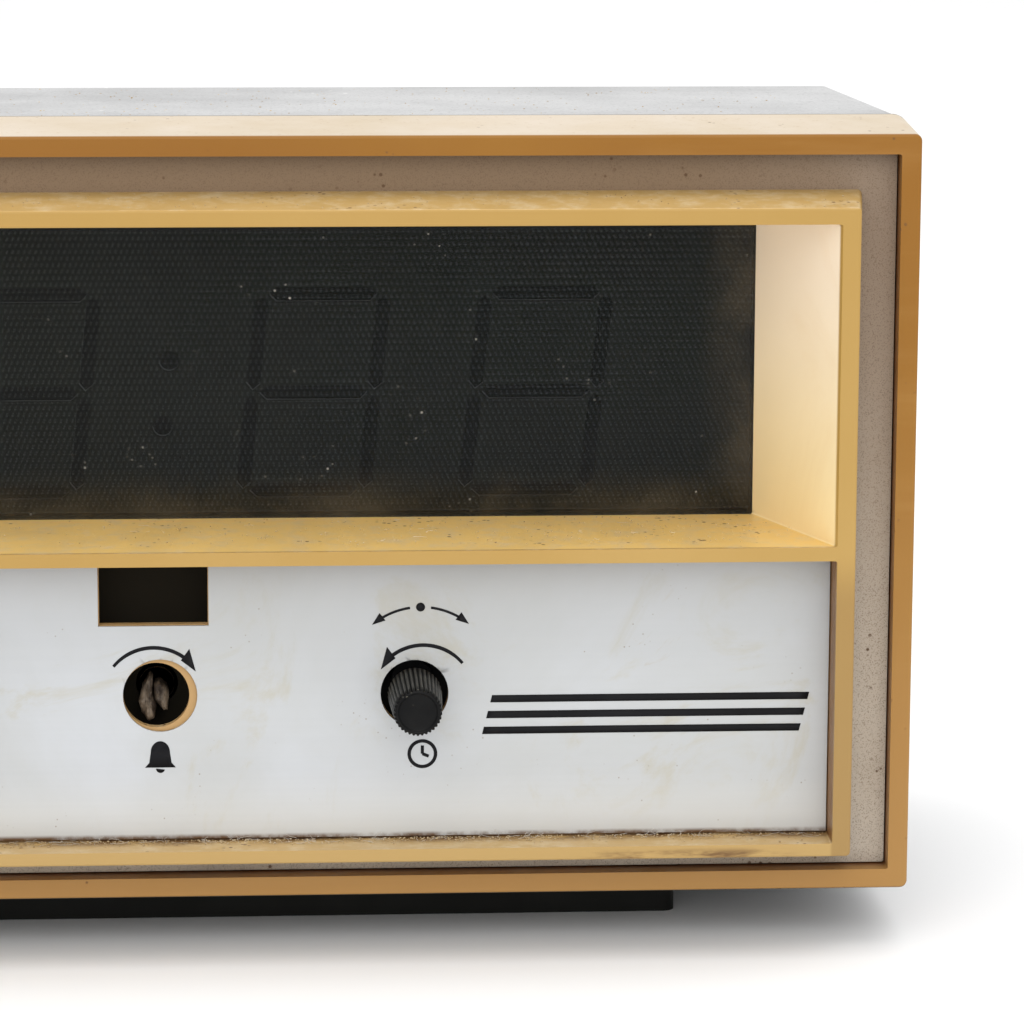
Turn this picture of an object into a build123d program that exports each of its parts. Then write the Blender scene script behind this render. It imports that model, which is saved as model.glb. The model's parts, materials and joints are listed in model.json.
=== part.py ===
from build123d import *
import os
from math import acos, atan2, cos, degrees, hypot, pi, radians, sin, sqrt, tan

# A mains alarm clock of the early digital years, in millimetres. +Z is up, the clock faces -Y, and the
# origin is the middle of the plinth's underside. "Depth" is measured backwards from the outer bezel's front.
# A cut runs 1 mm past every face that it opens.

# Outer shell
WIDTH = 251.2
HEIGHT = 127.5
LIFT = 10.0  # table to the bottom edge of the outer bezel
FRONT_Y = -57.0
BEZEL_DEPTH = 22.0
BEZEL_FLARE = 1.1  # growth of each side of the bezel towards its back
BEZEL_BAR = 3.3
BEZEL_FRONT_RADIUS = 1.2
BEZEL_BACK_RADIUS = 3.0
BEZEL_EDGE = 0.5
CASE_END = 100.0  # depth of the back edge of the case
CASE_DRAFT = 2.3
CASE_WALL = 2.5
CASE_RADIUS = 1.6
CASE_INNER_RADIUS = 0.6
CASE_FLOOR_Z = 9.0
COVER_THICKNESS = 3.0
PLINTH_WIDTH = 177.0
PLINTH_FRONT = 22.6
PLINTH_BACK = 92.0
TOP = LIFT + HEIGHT

# Front furniture
RECESS_DEPTH = 4.0
PANEL_SHEET = 2.0
INNER_FRONT = -8.0  # the inner bezel stands proud of the outer one
INNER_HALF = 114.7
INNER_BOTTOM = LIFT + 7.8
INNER_TOP = LIFT + 116.4
INNER_DRAFT = 1.6
OPENING_HALF = 111.7
CROSSBAR_BOTTOM = LIFT + 58.0
CROSSBAR_TOP = LIFT + 60.3
WINDOW_HALF = 100.7
WINDOW_BOTTOM = LIFT + 60.8
WINDOW_TOP = LIFT + 111.5
WINDOW_DEPTH = 19.0
LENS_THICKNESS = 2.5
LENS_RIM = 1.8
FASCIA_FRONT = -0.6
FASCIA_THICKNESS = 0.5
FASCIA_BOTTOM = LIFT + 10.4
BACKING = 1.6  # plastic behind the fascia
CONTROL_Z = LIFT + 34.8
TIME_X = 42.4
ALARM_X = -0.4
SWITCH_X = -42.4
ALARM_HOLE_R = 5.5
KNOB_HOLE_R = 5.65
ALARM_WINDOW_LEFT = -9.8
ALARM_WINDOW_RIGHT = 8.4
ALARM_WINDOW_BOTTOM = LIFT + 46.6

# Display: four digit places of slanted seven-segment figures
DIGIT_Z = LIFT + 81.4
DIGIT_X = {"hour": -22.5, "ten": 26.3, "unit": 64.0}
ONE_X = -60.5 + 10.3  # the stroke of the leading figure one
COLON_X = 1.4
HALF_ACROSS = 10.3  # centre of the digit to the centre line of an upright stroke
HALF_UP = 16.8
STROKE = 2.4
SLANT = 6.0
MASK_FRONT = 24.0
MASK_THICKNESS = 1.2
DIFFUSER_THICKNESS = 0.5
FRAME_THICKNESS = 5.0
FRAME_FRONT = MASK_FRONT + MASK_THICKNESS + DIFFUSER_THICKNESS
FRAME_BACK = FRAME_FRONT + FRAME_THICKNESS
VANE_AXIS = (FRAME_FRONT + FRAME_BACK) / 2
VANE_WIDTH = 3.0
VANE_THICKNESS = 0.6
VANE_PIN_R = 0.45
VANE_HOLE_R = 0.5
VANE_PIN = 1.0
VANE_END_GAP = 0.3
LUG_REACH = 1.8
LUG_LENGTH = 0.8
POCKET_WIDTH = 4.4
BAR_VANE = 13.4
POST_VANE = 13.6
POST_CENTRE = 8.5

# Drums and gears, on axes along X between two side plates
AXLE_D = 58.5
AXLE_Z = DIGIT_Z
AXLE_R = 2.0
LAY_ANGLE = -50.0
CENTRES = 24.0
LAY_D = AXLE_D + CENTRES * cos(radians(LAY_ANGLE))
LAY_Z = AXLE_Z + CENTRES * sin(radians(LAY_ANGLE))
LAY_R = 1.5
RUNNING = 0.05  # radial clearance of every running fit
DRUM_R = 11.0
LOBE_HEIGHT = 2.0
LOBE_WIDTH = 5.0
TRACK_WIDTH = 2.0
TRACK_PITCH = 3.0
CORE_R = 8.5
HUB_R = 3.9
WIRE_R = 0.3
WIRE_GAP = 0.3  # wire to the lug it pushes
LOBE_GAP = 0.7  # wire to the lobes that pass it
GUIDE_FRONT = 35.6
GUIDE_THICKNESS = 1.2
PLATE_LEFT = -72.0
PLATE_RIGHT = 82.0
PLATE = 1.5
PLATE_BACK = 95.0
PLATE_TOP = 119.0
MODULE = 1.0
FINE_MODULE = 0.8
GEAR_WIDTH = 3.0
BACKLASH = 0.2
UNIT_WHEEL_TEETH = 40
IDLER_TEETH = 30
PINION_TEETH = 12
MOTOR_D = 78.0
MOTOR_Z = 45.0
MOTOR_R = 21.0
MOTOR_LENGTH = 24.0
MOTOR_SHAFT_R = 1.0

# Chassis
CHASSIS_Z = 22.0
CHASSIS_FRONT = 13.0
CHASSIS_LEFT = -75.0
CHASSIS_RIGHT = 104.0
SHEET = 1.5
BRACKET_FRONT = 14.0
BRACKET_TOP = CONTROL_Z + 12.0
BRACKET_HALF = 56.0
DIAL_R = 22.0
DIAL_FRONT = 9.0
SHAFT_R = 1.95
SLEEVE_R = 3.5

LIT = {
    0: "abcdef", 1: "bc", 2: "abdeg", 3: "abcdg", 4: "bcfg",
    5: "acdfg", 6: "acdefg", 7: "abc", 8: "abcdefg", 9: "abcdfg",
}
SEGMENTS = "abcdefg"
TRACK_ORDER = "feagdbc"  # left to right along a drum
TRACK_RISE = {"a": 9.5, "b": 7.5, "c": -7.5, "d": -9.5, "e": -7.5, "f": 7.5, "g": 0.0}


def y_at(depth):
    """The Y of a depth behind the outer bezel's front."""
    return FRONT_Y + depth


def face_at(depth):
    """A plane that faces the viewer, its sketch x to the right and its sketch y up."""
    return Plane.XZ.offset(-y_at(depth))


def side_at(x):
    """A plane that faces +X, its sketch x backwards and its sketch y up."""
    return Plane.YZ.offset(x)


def slab(front, back, left, right, bottom, top, radius=0.0, mode=Mode.ADD):
    """A block with its corners rounded as seen from the front."""
    with BuildSketch(face_at(back)) as outline:
        with Locations(((left + right) / 2, (bottom + top) / 2)):
            if radius:
                RectangleRounded(right - left, top - bottom, radius)
            else:
                Rectangle(right - left, top - bottom)
    extrude(outline.sketch, amount=back - front, mode=mode)


def disc(front, back, x, z, radius, mode=Mode.ADD):
    """A round bar or a hole along the depth."""
    with BuildSketch(face_at(back)) as outline:
        with Locations((x, z)):
            Circle(radius)
    extrude(outline.sketch, amount=back - front, mode=mode)


def rod(left, right, depth, z, radius, mode=Mode.ADD):
    """A round bar or a hole along X."""
    with BuildSketch(side_at(left)) as outline:
        with Locations((y_at(depth), z)):
            Circle(radius)
    extrude(outline.sketch, amount=right - left, mode=mode)


def taper(stations, mode=Mode.ADD):
    """A loft through rectangles, each given as depth, left, right, bottom, top and corner radius."""
    sections = []
    for depth, left, right, bottom, top, radius in stations:
        with BuildSketch(face_at(depth)) as section:
            with Locations(((left + right) / 2, (bottom + top) / 2)):
                RectangleRounded(right - left, top - bottom, radius)
        sections.append(section.sketch)
    loft(sections, mode=mode)


def save(builder, name):
    """Labels a finished piece and writes it."""
    builder.part.label = name
    export_step(builder.part, f"parts/{name}.step")


os.makedirs("parts", exist_ok=True)

# ---------------------------------------------------------------- outer shell

bezel_front = (0, -WIDTH / 2, WIDTH / 2, LIFT, TOP, BEZEL_FRONT_RADIUS)
bezel_back = (
    BEZEL_DEPTH,
    -WIDTH / 2 - BEZEL_FLARE,
    WIDTH / 2 + BEZEL_FLARE,
    LIFT - BEZEL_FLARE,
    TOP + BEZEL_FLARE,
    BEZEL_BACK_RADIUS,
)
LIP = 2.2
INSIDE_RADIUS = 0.4
PANEL_BACK = RECESS_DEPTH + PANEL_SHEET
inside = WIDTH / 2 - BEZEL_BAR

with BuildPart() as outer_bezel:
    taper([bezel_front, bezel_back])
    fillet(outer_bezel.faces().sort_by(Axis.Y)[0].edges(), BEZEL_EDGE)
    slab(-1, PANEL_BACK, -inside, inside, LIFT + BEZEL_BAR, TOP - BEZEL_BAR, INSIDE_RADIUS, Mode.SUBTRACT)
    slab(
        PANEL_BACK,
        BEZEL_DEPTH + 1,
        -inside + LIP,
        inside - LIP,
        LIFT + BEZEL_BAR + LIP,
        TOP - BEZEL_BAR - LIP,
        INSIDE_RADIUS,
        Mode.SUBTRACT,
    )
save(outer_bezel, "outer_bezel")

PANEL_GAP = 0.2
PANEL_OPENING = 110.5
PANEL_OPENING_BOTTOM = LIFT + 14.0
PANEL_OPENING_TOP = LIFT + 115.5
PANEL_OPENING_RADIUS = 2.0
with BuildPart() as recess_panel:
    slab(
        RECESS_DEPTH,
        PANEL_BACK,
        -inside + PANEL_GAP,
        inside - PANEL_GAP,
        LIFT + BEZEL_BAR + PANEL_GAP,
        TOP - BEZEL_BAR - PANEL_GAP,
        INSIDE_RADIUS,
    )
    slab(
        RECESS_DEPTH - 1,
        PANEL_BACK + 1,
        -PANEL_OPENING,
        PANEL_OPENING,
        PANEL_OPENING_BOTTOM,
        PANEL_OPENING_TOP,
        PANEL_OPENING_RADIUS,
        Mode.SUBTRACT,
    )
save(recess_panel, "recess_panel")

CASE_STEP = 0.5
case_half = WIDTH / 2 + BEZEL_FLARE - CASE_STEP
case_top = TOP + BEZEL_FLARE - CASE_STEP


def case_section(depth, inset, radius):
    """The case's outline at a depth, with its sides and top drawing in and its floor level."""
    draft = CASE_DRAFT * (depth - BEZEL_DEPTH) / (CASE_END - BEZEL_DEPTH)
    half = case_half - draft - inset
    return (depth, -half, half, CASE_FLOOR_Z + inset, case_top - draft - inset, radius)


INLET_X = 95.0
INLET_Z = LIFT + 14.0
INLET_R = 4.5
with BuildPart() as case_shell:
    taper([case_section(BEZEL_DEPTH, 0, CASE_RADIUS), case_section(CASE_END, 0, CASE_RADIUS)])
    taper(
        [
            case_section(BEZEL_DEPTH - 1, CASE_WALL, CASE_INNER_RADIUS),
            case_section(CASE_END + 1, CASE_WALL, CASE_INNER_RADIUS),
        ],
        mode=Mode.SUBTRACT,
    )
save(case_shell, "case_shell")

VENT_WIDTH = 2.4
VENT_PITCH = 6.0
UPPER_VENTS = (-30.0, LIFT + 88.0, 16, 34.0)  # middle x, middle z, number and length
LOWER_VENTS = (30.0, LIFT + 30.0, 12, 22.0)
COVER_SCREW_X = 112.0
COVER_SCREW_Z = (LIFT + 12.0, TOP - 14.0)
SCREW_R = 1.6
SCREW_HEAD_R = 3.2
SCREW_HEAD = 1.8
HEAD_GAP = 0.2
BOSS_R = 4.5
BOSS_LENGTH = 8.0
with BuildPart() as rear_cover:
    taper(
        [
            case_section(CASE_END, 0, CASE_RADIUS),
            case_section(CASE_END + COVER_THICKNESS, COVER_THICKNESS / 3, CASE_RADIUS),
        ]
    )
    with BuildSketch(face_at(CASE_END + COVER_THICKNESS + 1)) as vents:
        for x, z, number, length in (UPPER_VENTS, LOWER_VENTS):
            with Locations((x, z)):
                with GridLocations(VENT_PITCH, 1, number, 1):
                    SlotOverall(length, VENT_WIDTH, rotation=90)
    extrude(vents.sketch, amount=COVER_THICKNESS + 2, mode=Mode.SUBTRACT)
    for side in (-1, 1):
        for z in COVER_SCREW_Z:
            disc(CASE_END - BOSS_LENGTH, CASE_END, side * COVER_SCREW_X, z, BOSS_R)
            disc(
                CASE_END - BOSS_LENGTH - 1,
                CASE_END + COVER_THICKNESS + 1,
                side * COVER_SCREW_X,
                z,
                SCREW_R,
                Mode.SUBTRACT,
            )
            disc(
                CASE_END + COVER_THICKNESS - SCREW_HEAD,
                CASE_END + COVER_THICKNESS + 1,
                side * COVER_SCREW_X,
                z,
                SCREW_HEAD_R + HEAD_GAP,
                Mode.SUBTRACT,
            )
    disc(CASE_END - 1, CASE_END + COVER_THICKNESS + 1, INLET_X, INLET_Z, INLET_R, Mode.SUBTRACT)
save(rear_cover, "rear_cover")

GROMMET_LIP = 1.5
GROMMET_FLANGE = 2.0
CORD_HOLE_R = 2.6
grommet_front = CASE_END - GROMMET_FLANGE
grommet_back = CASE_END + COVER_THICKNESS + GROMMET_FLANGE
with BuildPart() as cord_gland:
    disc(grommet_front, CASE_END, INLET_X, INLET_Z, INLET_R + GROMMET_LIP)
    disc(CASE_END, CASE_END + COVER_THICKNESS, INLET_X, INLET_Z, INLET_R)
    disc(
        CASE_END + COVER_THICKNESS,
        grommet_back,
        INLET_X,
        INLET_Z,
        INLET_R + GROMMET_LIP,
    )
    disc(grommet_front - 1, grommet_back + 1, INLET_X, INLET_Z, CORD_HOLE_R, Mode.SUBTRACT)
save(cord_gland, "cord_gland")

PLINTH_SCREWS = [(-65.0, 40.0), (65.0, 40.0), (-65.0, 84.0), (65.0, 84.0)]  # x and depth
PLINTH_RADIUS = 2.0
PLINTH_SKIN = 3.0
PLINTH_WALL = 4.0
PLINTH_INNER_RADIUS = 1.5
HEAD_SINK = 2.2  # depth of the sunk holes for the plinth's screw heads
plinth_middle = y_at((PLINTH_FRONT + PLINTH_BACK) / 2)
with BuildPart() as base_plinth:
    with BuildSketch(Plane.XY):
        with Locations((0, plinth_middle)):
            RectangleRounded(PLINTH_WIDTH, PLINTH_BACK - PLINTH_FRONT, PLINTH_RADIUS)
    extrude(amount=CASE_FLOOR_Z)
    with BuildSketch(Plane.XY.offset(PLINTH_SKIN)):
        with Locations((0, plinth_middle)):
            RectangleRounded(
                PLINTH_WIDTH - 2 * PLINTH_WALL,
                PLINTH_BACK - PLINTH_FRONT - 2 * PLINTH_WALL,
                PLINTH_INNER_RADIUS,
            )
    extrude(amount=CASE_FLOOR_Z, mode=Mode.SUBTRACT)
    with BuildSketch(Plane.XY):
        for x, depth in PLINTH_SCREWS:
            with Locations((x, y_at(depth))):
                Circle(BOSS_R)
    extrude(amount=CASE_FLOOR_Z)
    with BuildSketch(Plane.XY):
        for x, depth in PLINTH_SCREWS:
            with Locations((x, y_at(depth))):
                Circle(SCREW_R)
    extrude(amount=CASE_FLOOR_Z, mode=Mode.SUBTRACT)
    with BuildSketch(Plane.XY):
        for x, depth in PLINTH_SCREWS:
            with Locations((x, y_at(depth))):
                Circle(SCREW_HEAD_R + HEAD_GAP)
    extrude(amount=HEAD_SINK, mode=Mode.SUBTRACT)
save(base_plinth, "base_plinth")

SCREW_LENGTH = 7.0
HEAD_INSET = 0.3  # how far a screw head lies below the cover's face
DRIVER_SLOT_DEPTH = 0.8
DRIVER_SLOT_HALF = 0.4
with BuildPart() as case_screws:
    for side in (-1, 1):
        for z in COVER_SCREW_Z:
            x = side * COVER_SCREW_X
            disc(CASE_END - SCREW_LENGTH, CASE_END + COVER_THICKNESS - SCREW_HEAD, x, z, SCREW_R)
            head_back = CASE_END + COVER_THICKNESS - HEAD_INSET
            disc(CASE_END + COVER_THICKNESS - SCREW_HEAD, head_back, x, z, SCREW_HEAD_R)
            slab(
                head_back - DRIVER_SLOT_DEPTH,
                head_back + 1,
                x - SCREW_HEAD_R,
                x + SCREW_HEAD_R,
                z - DRIVER_SLOT_HALF,
                z + DRIVER_SLOT_HALF,
                mode=Mode.SUBTRACT,
            )
    head_bottom = HEAD_SINK - SCREW_HEAD
    for x, depth in PLINTH_SCREWS:
        with BuildSketch(Plane.XY.offset(head_bottom)) as head:
            with Locations((x, y_at(depth))):
                Circle(SCREW_HEAD_R)
        extrude(head.sketch, amount=SCREW_HEAD)
        with BuildSketch(Plane.XY.offset(head_bottom)) as shank:
            with Locations((x, y_at(depth))):
                Circle(SCREW_R)
        extrude(shank.sketch, amount=CASE_FLOOR_Z - head_bottom)
save(case_screws, "case_screws")

# ---------------------------------------------------------------- front furniture

LENS_BACK = WINDOW_DEPTH + LENS_THICKNESS
lens_box = (
    -WINDOW_HALF - LENS_RIM,
    WINDOW_HALF + LENS_RIM,
    WINDOW_BOTTOM - LENS_RIM,
    WINDOW_TOP + LENS_RIM,
)
TUNNEL_WALL = 1.8
TUNNEL_FRONT_HALF = 109.2
TUNNEL_RADIUS = 1.0
BACKING_FRONT = FASCIA_FRONT + FASCIA_THICKNESS
BACKING_BACK = BACKING_FRONT + BACKING
INNER_RADIUS = 0.8
INNER_EDGE = 0.4
WINDOW_LIP = 2.7  # bar above the window
CONTROL_BOTTOM = LIFT + 10.0
HOLLOW_BOTTOM = LIFT + 16.0
HOLLOW_HALF = OPENING_HALF - 3.0
ALARM_WINDOW_LIP = 0.15
with BuildPart() as inner_bezel:
    taper(
        [
            (
                RECESS_DEPTH,
                -INNER_HALF - INNER_DRAFT,
                INNER_HALF + INNER_DRAFT,
                INNER_BOTTOM - INNER_DRAFT,
                INNER_TOP + INNER_DRAFT,
                INNER_RADIUS,
            ),
            (INNER_FRONT, -INNER_HALF, INNER_HALF, INNER_BOTTOM, INNER_TOP, INNER_RADIUS),
        ]
    )
    fillet(inner_bezel.faces().sort_by(Axis.Y)[0].edges(), INNER_EDGE)
    tunnel_bottom = lens_box[2] - TUNNEL_WALL
    tunnel_top = lens_box[3] + TUNNEL_WALL
    tunnel_half = lens_box[1] + TUNNEL_WALL
    taper(
        [
            (RECESS_DEPTH, -TUNNEL_FRONT_HALF, TUNNEL_FRONT_HALF, tunnel_bottom, tunnel_top, TUNNEL_RADIUS),
            (LENS_BACK, -tunnel_half, tunnel_half, tunnel_bottom, tunnel_top, TUNNEL_RADIUS),
        ]
    )
    taper(
        [
            (
                INNER_FRONT - 0.01,
                -OPENING_HALF,
                OPENING_HALF,
                CROSSBAR_TOP,
                INNER_TOP - WINDOW_LIP,
                INSIDE_RADIUS,
            ),
            (WINDOW_DEPTH, -WINDOW_HALF, WINDOW_HALF, WINDOW_BOTTOM, WINDOW_TOP, INSIDE_RADIUS),
        ],
        mode=Mode.SUBTRACT,
    )
    slab(WINDOW_DEPTH, LENS_BACK + 1, *lens_box, mode=Mode.SUBTRACT)
    slab(
        INNER_FRONT - 1,
        BACKING_FRONT,
        -OPENING_HALF,
        OPENING_HALF,
        CONTROL_BOTTOM,
        CROSSBAR_BOTTOM,
        INSIDE_RADIUS,
        Mode.SUBTRACT,
    )
    slab(
        BACKING_BACK,
        RECESS_DEPTH + 1,
        -HOLLOW_HALF,
        HOLLOW_HALF,
        HOLLOW_BOTTOM,
        lens_box[2] - TUNNEL_WALL,
        TUNNEL_RADIUS,
        Mode.SUBTRACT,
    )
    for x, radius in ((ALARM_X, ALARM_HOLE_R), (TIME_X, KNOB_HOLE_R), (SWITCH_X, KNOB_HOLE_R)):
        disc(BACKING_FRONT - 1, BACKING_BACK + 1, x, CONTROL_Z, radius, Mode.SUBTRACT)
    slab(
        BACKING_FRONT - 1,
        BACKING_BACK + 1,
        ALARM_WINDOW_LEFT + ALARM_WINDOW_LIP,
        ALARM_WINDOW_RIGHT - ALARM_WINDOW_LIP,
        ALARM_WINDOW_BOTTOM + ALARM_WINDOW_LIP,
        CROSSBAR_BOTTOM - 4 * ALARM_WINDOW_LIP,
        mode=Mode.SUBTRACT,
    )
save(inner_bezel, "inner_bezel")

FASCIA_TOP_GAP = 0.1
FASCIA_HOLE_R = 6.15
FASCIA_HOLE_MISS = 0.67  # the foil's alarm hole is punched off centre
with BuildPart() as control_panel:
    slab(
        FASCIA_FRONT,
        BACKING_FRONT,
        -OPENING_HALF + PANEL_GAP,
        OPENING_HALF - PANEL_GAP,
        FASCIA_BOTTOM,
        CROSSBAR_BOTTOM - FASCIA_TOP_GAP,
    )
    disc(FASCIA_FRONT - 1, BACKING_BACK, ALARM_X + FASCIA_HOLE_MISS, CONTROL_Z, FASCIA_HOLE_R, Mode.SUBTRACT)
    for x in (TIME_X, SWITCH_X):
        disc(FASCIA_FRONT - 1, BACKING_BACK, x, CONTROL_Z, KNOB_HOLE_R, Mode.SUBTRACT)
    slab(
        FASCIA_FRONT - 1,
        BACKING_BACK,
        ALARM_WINDOW_LEFT,
        ALARM_WINDOW_RIGHT,
        ALARM_WINDOW_BOTTOM,
        CROSSBAR_BOTTOM + 1,
        mode=Mode.SUBTRACT,
    )
save(control_panel, "control_panel")

LENS_GAP = 0.1
with BuildPart() as window_lens:
    slab(
        WINDOW_DEPTH,
        LENS_BACK,
        lens_box[0] + LENS_GAP,
        lens_box[1] - LENS_GAP,
        lens_box[2] + LENS_GAP,
        lens_box[3] - LENS_GAP,
    )
save(window_lens, "window_lens")

# ---------------------------------------------------------------- display

lean = tan(radians(SLANT))


def segment_place(letter):
    """Centre of a segment from its digit's centre, its rotation from level, and its vane's length."""
    rows = {"a": HALF_UP, "g": 0.0, "d": -HALF_UP}
    if letter in rows:
        return (rows[letter] * lean, rows[letter], 0.0, BAR_VANE)
    up = POST_CENTRE if letter in "fb" else -POST_CENTRE
    across = -HALF_ACROSS if letter in "fe" else HALF_ACROSS
    return (across + up * lean, up, 90.0 - SLANT, POST_VANE)


def display_vanes():
    """Every vane: name, centre x, centre z, rotation and length."""
    vanes = []
    for digit, x in DIGIT_X.items():
        for letter in SEGMENTS:
            dx, dz, turn, length = segment_place(letter)
            vanes.append((f"{digit}_vane_{letter}", x + dx, DIGIT_Z + dz, turn, length))
    vanes.append(("leading_one_vane", ONE_X, DIGIT_Z, 90.0 - SLANT, 2 * POST_CENTRE + POST_VANE))
    return vanes


VANES = display_vanes()


def slot_outline(length):
    """A stroke with pointed ends."""
    with BuildLine() as outline:
        Polyline(
            (-length / 2 - STROKE / 2, 0),
            (-length / 2, STROKE / 2),
            (length / 2, STROKE / 2),
            (length / 2 + STROKE / 2, 0),
            (length / 2, -STROKE / 2),
            (-length / 2, -STROKE / 2),
            close=True,
        )
    make_face(outline.edges())


LEVEL_REACH = 2.4  # how much longer than its vane a slot is
UPRIGHT_REACH = 0.2
COLON_RISE = 5.6
COLON_R = 1.7
MASK_RIM = 2.0
MASK_RADIUS = 1.0
with BuildPart() as segment_mask:
    slab(LENS_BACK, MASK_FRONT + MASK_THICKNESS, *lens_box)
    slab(
        LENS_BACK - 1,
        MASK_FRONT,
        lens_box[0] + MASK_RIM,
        lens_box[1] - MASK_RIM,
        lens_box[2] + MASK_RIM,
        lens_box[3] - MASK_RIM,
        MASK_RADIUS,
        Mode.SUBTRACT,
    )
    for name, x, z, turn, length in VANES:
        reach = length + (LEVEL_REACH if turn == 0 else UPRIGHT_REACH)
        plane = Plane(
            origin=(x, y_at(MASK_FRONT + MASK_THICKNESS), z),
            x_dir=(cos(radians(turn)), 0, sin(radians(turn))),
            z_dir=(0, -1, 0),
        )
        with BuildSketch(plane) as slot:
            slot_outline(reach)
        extrude(slot.sketch, amount=MASK_THICKNESS, mode=Mode.SUBTRACT)
    for rise in (-COLON_RISE, COLON_RISE):
        disc(
            MASK_FRONT - 1,
            MASK_FRONT + MASK_THICKNESS + 1,
            COLON_X + rise * lean,
            DIGIT_Z + rise,
            COLON_R,
            Mode.SUBTRACT,
        )
save(segment_mask, "segment_mask")

DISPLAY_HALF = 21.0
DISPLAY_BOTTOM = DIGIT_Z - DISPLAY_HALF
DISPLAY_TOP = DIGIT_Z + DISPLAY_HALF
FILM_LEFT = PLATE_LEFT + 4.0
FILM_RIGHT = PLATE_RIGHT - 2.0
FILM_MARGIN = 1.0
with BuildPart() as diffuser:
    slab(
        MASK_FRONT + MASK_THICKNESS,
        FRAME_FRONT,
        FILM_LEFT,
        FILM_RIGHT,
        DISPLAY_BOTTOM + FILM_MARGIN,
        DISPLAY_TOP - FILM_MARGIN,
    )
save(diffuser, "diffuser")


def vane_plane(x, z, turn):
    """The plane of a closed vane, its sketch x along the vane, facing the viewer."""
    return Plane(
        origin=(x, y_at(VANE_AXIS), z),
        x_dir=(cos(radians(turn)), 0, sin(radians(turn))),
        z_dir=(0, -1, 0),
    )


def vane_bar(x, z, turn, length, radius, mode=Mode.ADD):
    """A round bar along a vane's own axis."""
    along = Vector(cos(radians(turn)), 0, sin(radians(turn)))
    start = Vector(x, y_at(VANE_AXIS), z) - along * (length / 2)
    with BuildSketch(Plane(origin=start, z_dir=along)) as section:
        Circle(radius)
    extrude(section.sketch, amount=length, mode=mode)


with BuildPart() as vane_frame:
    slab(FRAME_FRONT, FRAME_BACK, PLATE_LEFT, PLATE_RIGHT + PLATE, DISPLAY_BOTTOM, DISPLAY_TOP)
    for name, x, z, turn, length in VANES:
        with BuildSketch(vane_plane(x, z, turn)) as pocket:
            Rectangle(length + 2 * VANE_END_GAP, POCKET_WIDTH)
        extrude(pocket.sketch, amount=FRAME_THICKNESS, both=True, mode=Mode.SUBTRACT)
    for name, x, z, turn, length in VANES:
        span = length + 2 * VANE_END_GAP + 2 * VANE_PIN
        vane_bar(x, z, turn, span, VANE_HOLE_R, Mode.SUBTRACT)
    for rise in (-COLON_RISE, COLON_RISE):
        disc(
            FRAME_FRONT - 1,
            FRAME_BACK + 1,
            COLON_X + rise * lean,
            DIGIT_Z + rise,
            COLON_R,
            Mode.SUBTRACT,
        )
save(vane_frame, "vane_frame")

# A vane is a thin strip on its own pivot pins, with a lug on its back that a wire pushes.
for name, x, z, turn, length in VANES:
    with BuildPart() as vane:
        with BuildSketch(vane_plane(x, z, turn)) as strip:
            Rectangle(length, VANE_WIDTH)
        extrude(strip.sketch, amount=VANE_THICKNESS / 2, both=True)
        vane_bar(x, z, turn, length + 2 * VANE_PIN, VANE_PIN_R)
        with BuildSketch(vane_plane(x, z, turn)) as lug:
            Rectangle(LUG_LENGTH, VANE_THICKNESS)
        extrude(lug.sketch, amount=-LUG_REACH)
    save(vane, name)


def wire_path(digit, letter):
    """Where a push wire starts behind its vane's lug and ends in front of its cam track."""
    dx, dz, turn, length = segment_place(letter)
    x = DIGIT_X[digit]
    rise = TRACK_RISE[letter]
    reach = DRUM_R + LOBE_HEIGHT + LOBE_GAP
    track = x + (TRACK_ORDER.index(letter) - 3) * TRACK_PITCH
    start = Vector(x + dx, y_at(VANE_AXIS + LUG_REACH + WIRE_GAP), DIGIT_Z + dz)
    end = Vector(track, y_at(AXLE_D - sqrt(reach**2 - rise**2)), AXLE_Z + rise)
    return start, end


ONE_TRACK_X = -41.5


def one_wire_path():
    """The push wire of the leading figure one."""
    reach = DRUM_R + LOBE_HEIGHT + LOBE_GAP
    start = Vector(ONE_X, y_at(VANE_AXIS + LUG_REACH + WIRE_GAP), DIGIT_Z)
    end = Vector(ONE_TRACK_X, y_at(AXLE_D - reach), AXLE_Z)
    return start, end


def wire(path, radius, mode=Mode.ADD):
    """A straight round wire from one point to another."""
    start, end = path
    with BuildSketch(Plane(origin=start, z_dir=end - start)) as section:
        Circle(radius)
    extrude(section.sketch, amount=(end - start).length, mode=mode)


WIRE_PATHS = [wire_path(digit, letter) for digit in DIGIT_X for letter in SEGMENTS] + [one_wire_path()]
with BuildPart() as push_wires:
    for path in WIRE_PATHS:
        wire(path, WIRE_R)
save(push_wires, "push_wires")

with BuildPart() as wire_guide:
    slab(
        GUIDE_FRONT,
        GUIDE_FRONT + GUIDE_THICKNESS,
        PLATE_LEFT + PLATE,
        PLATE_RIGHT,
        DISPLAY_BOTTOM + FILM_MARGIN,
        DISPLAY_TOP - FILM_MARGIN,
    )
    for path in WIRE_PATHS:
        wire(path, WIRE_R + RUNNING, Mode.SUBTRACT)
save(wire_guide, "wire_guide")

LAMP_R = 2.2
LAMP_GAP = 0.3
LAMP_D = FRAME_BACK + LAMP_R + LAMP_GAP
LAMP_RISE = 19.6
with BuildPart() as lamp_tubes:
    for side in (-1, 1):
        rod(PLATE_LEFT, PLATE_RIGHT + PLATE, LAMP_D, DIGIT_Z + side * LAMP_RISE, LAMP_R)
save(lamp_tubes, "lamp_tubes")

# ---------------------------------------------------------------- drums and gears


PRESSURE_ANGLE = 20.0
ADDENDUM = 0.85  # tooth above and below the pitch circle, in modules
DEDENDUM = 1.2
FLANK_START = 0.1  # the involute starts this far outside the root circle
ROOT_OVERLAP = 0.4
LOBE_SPACING = 0.6


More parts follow.
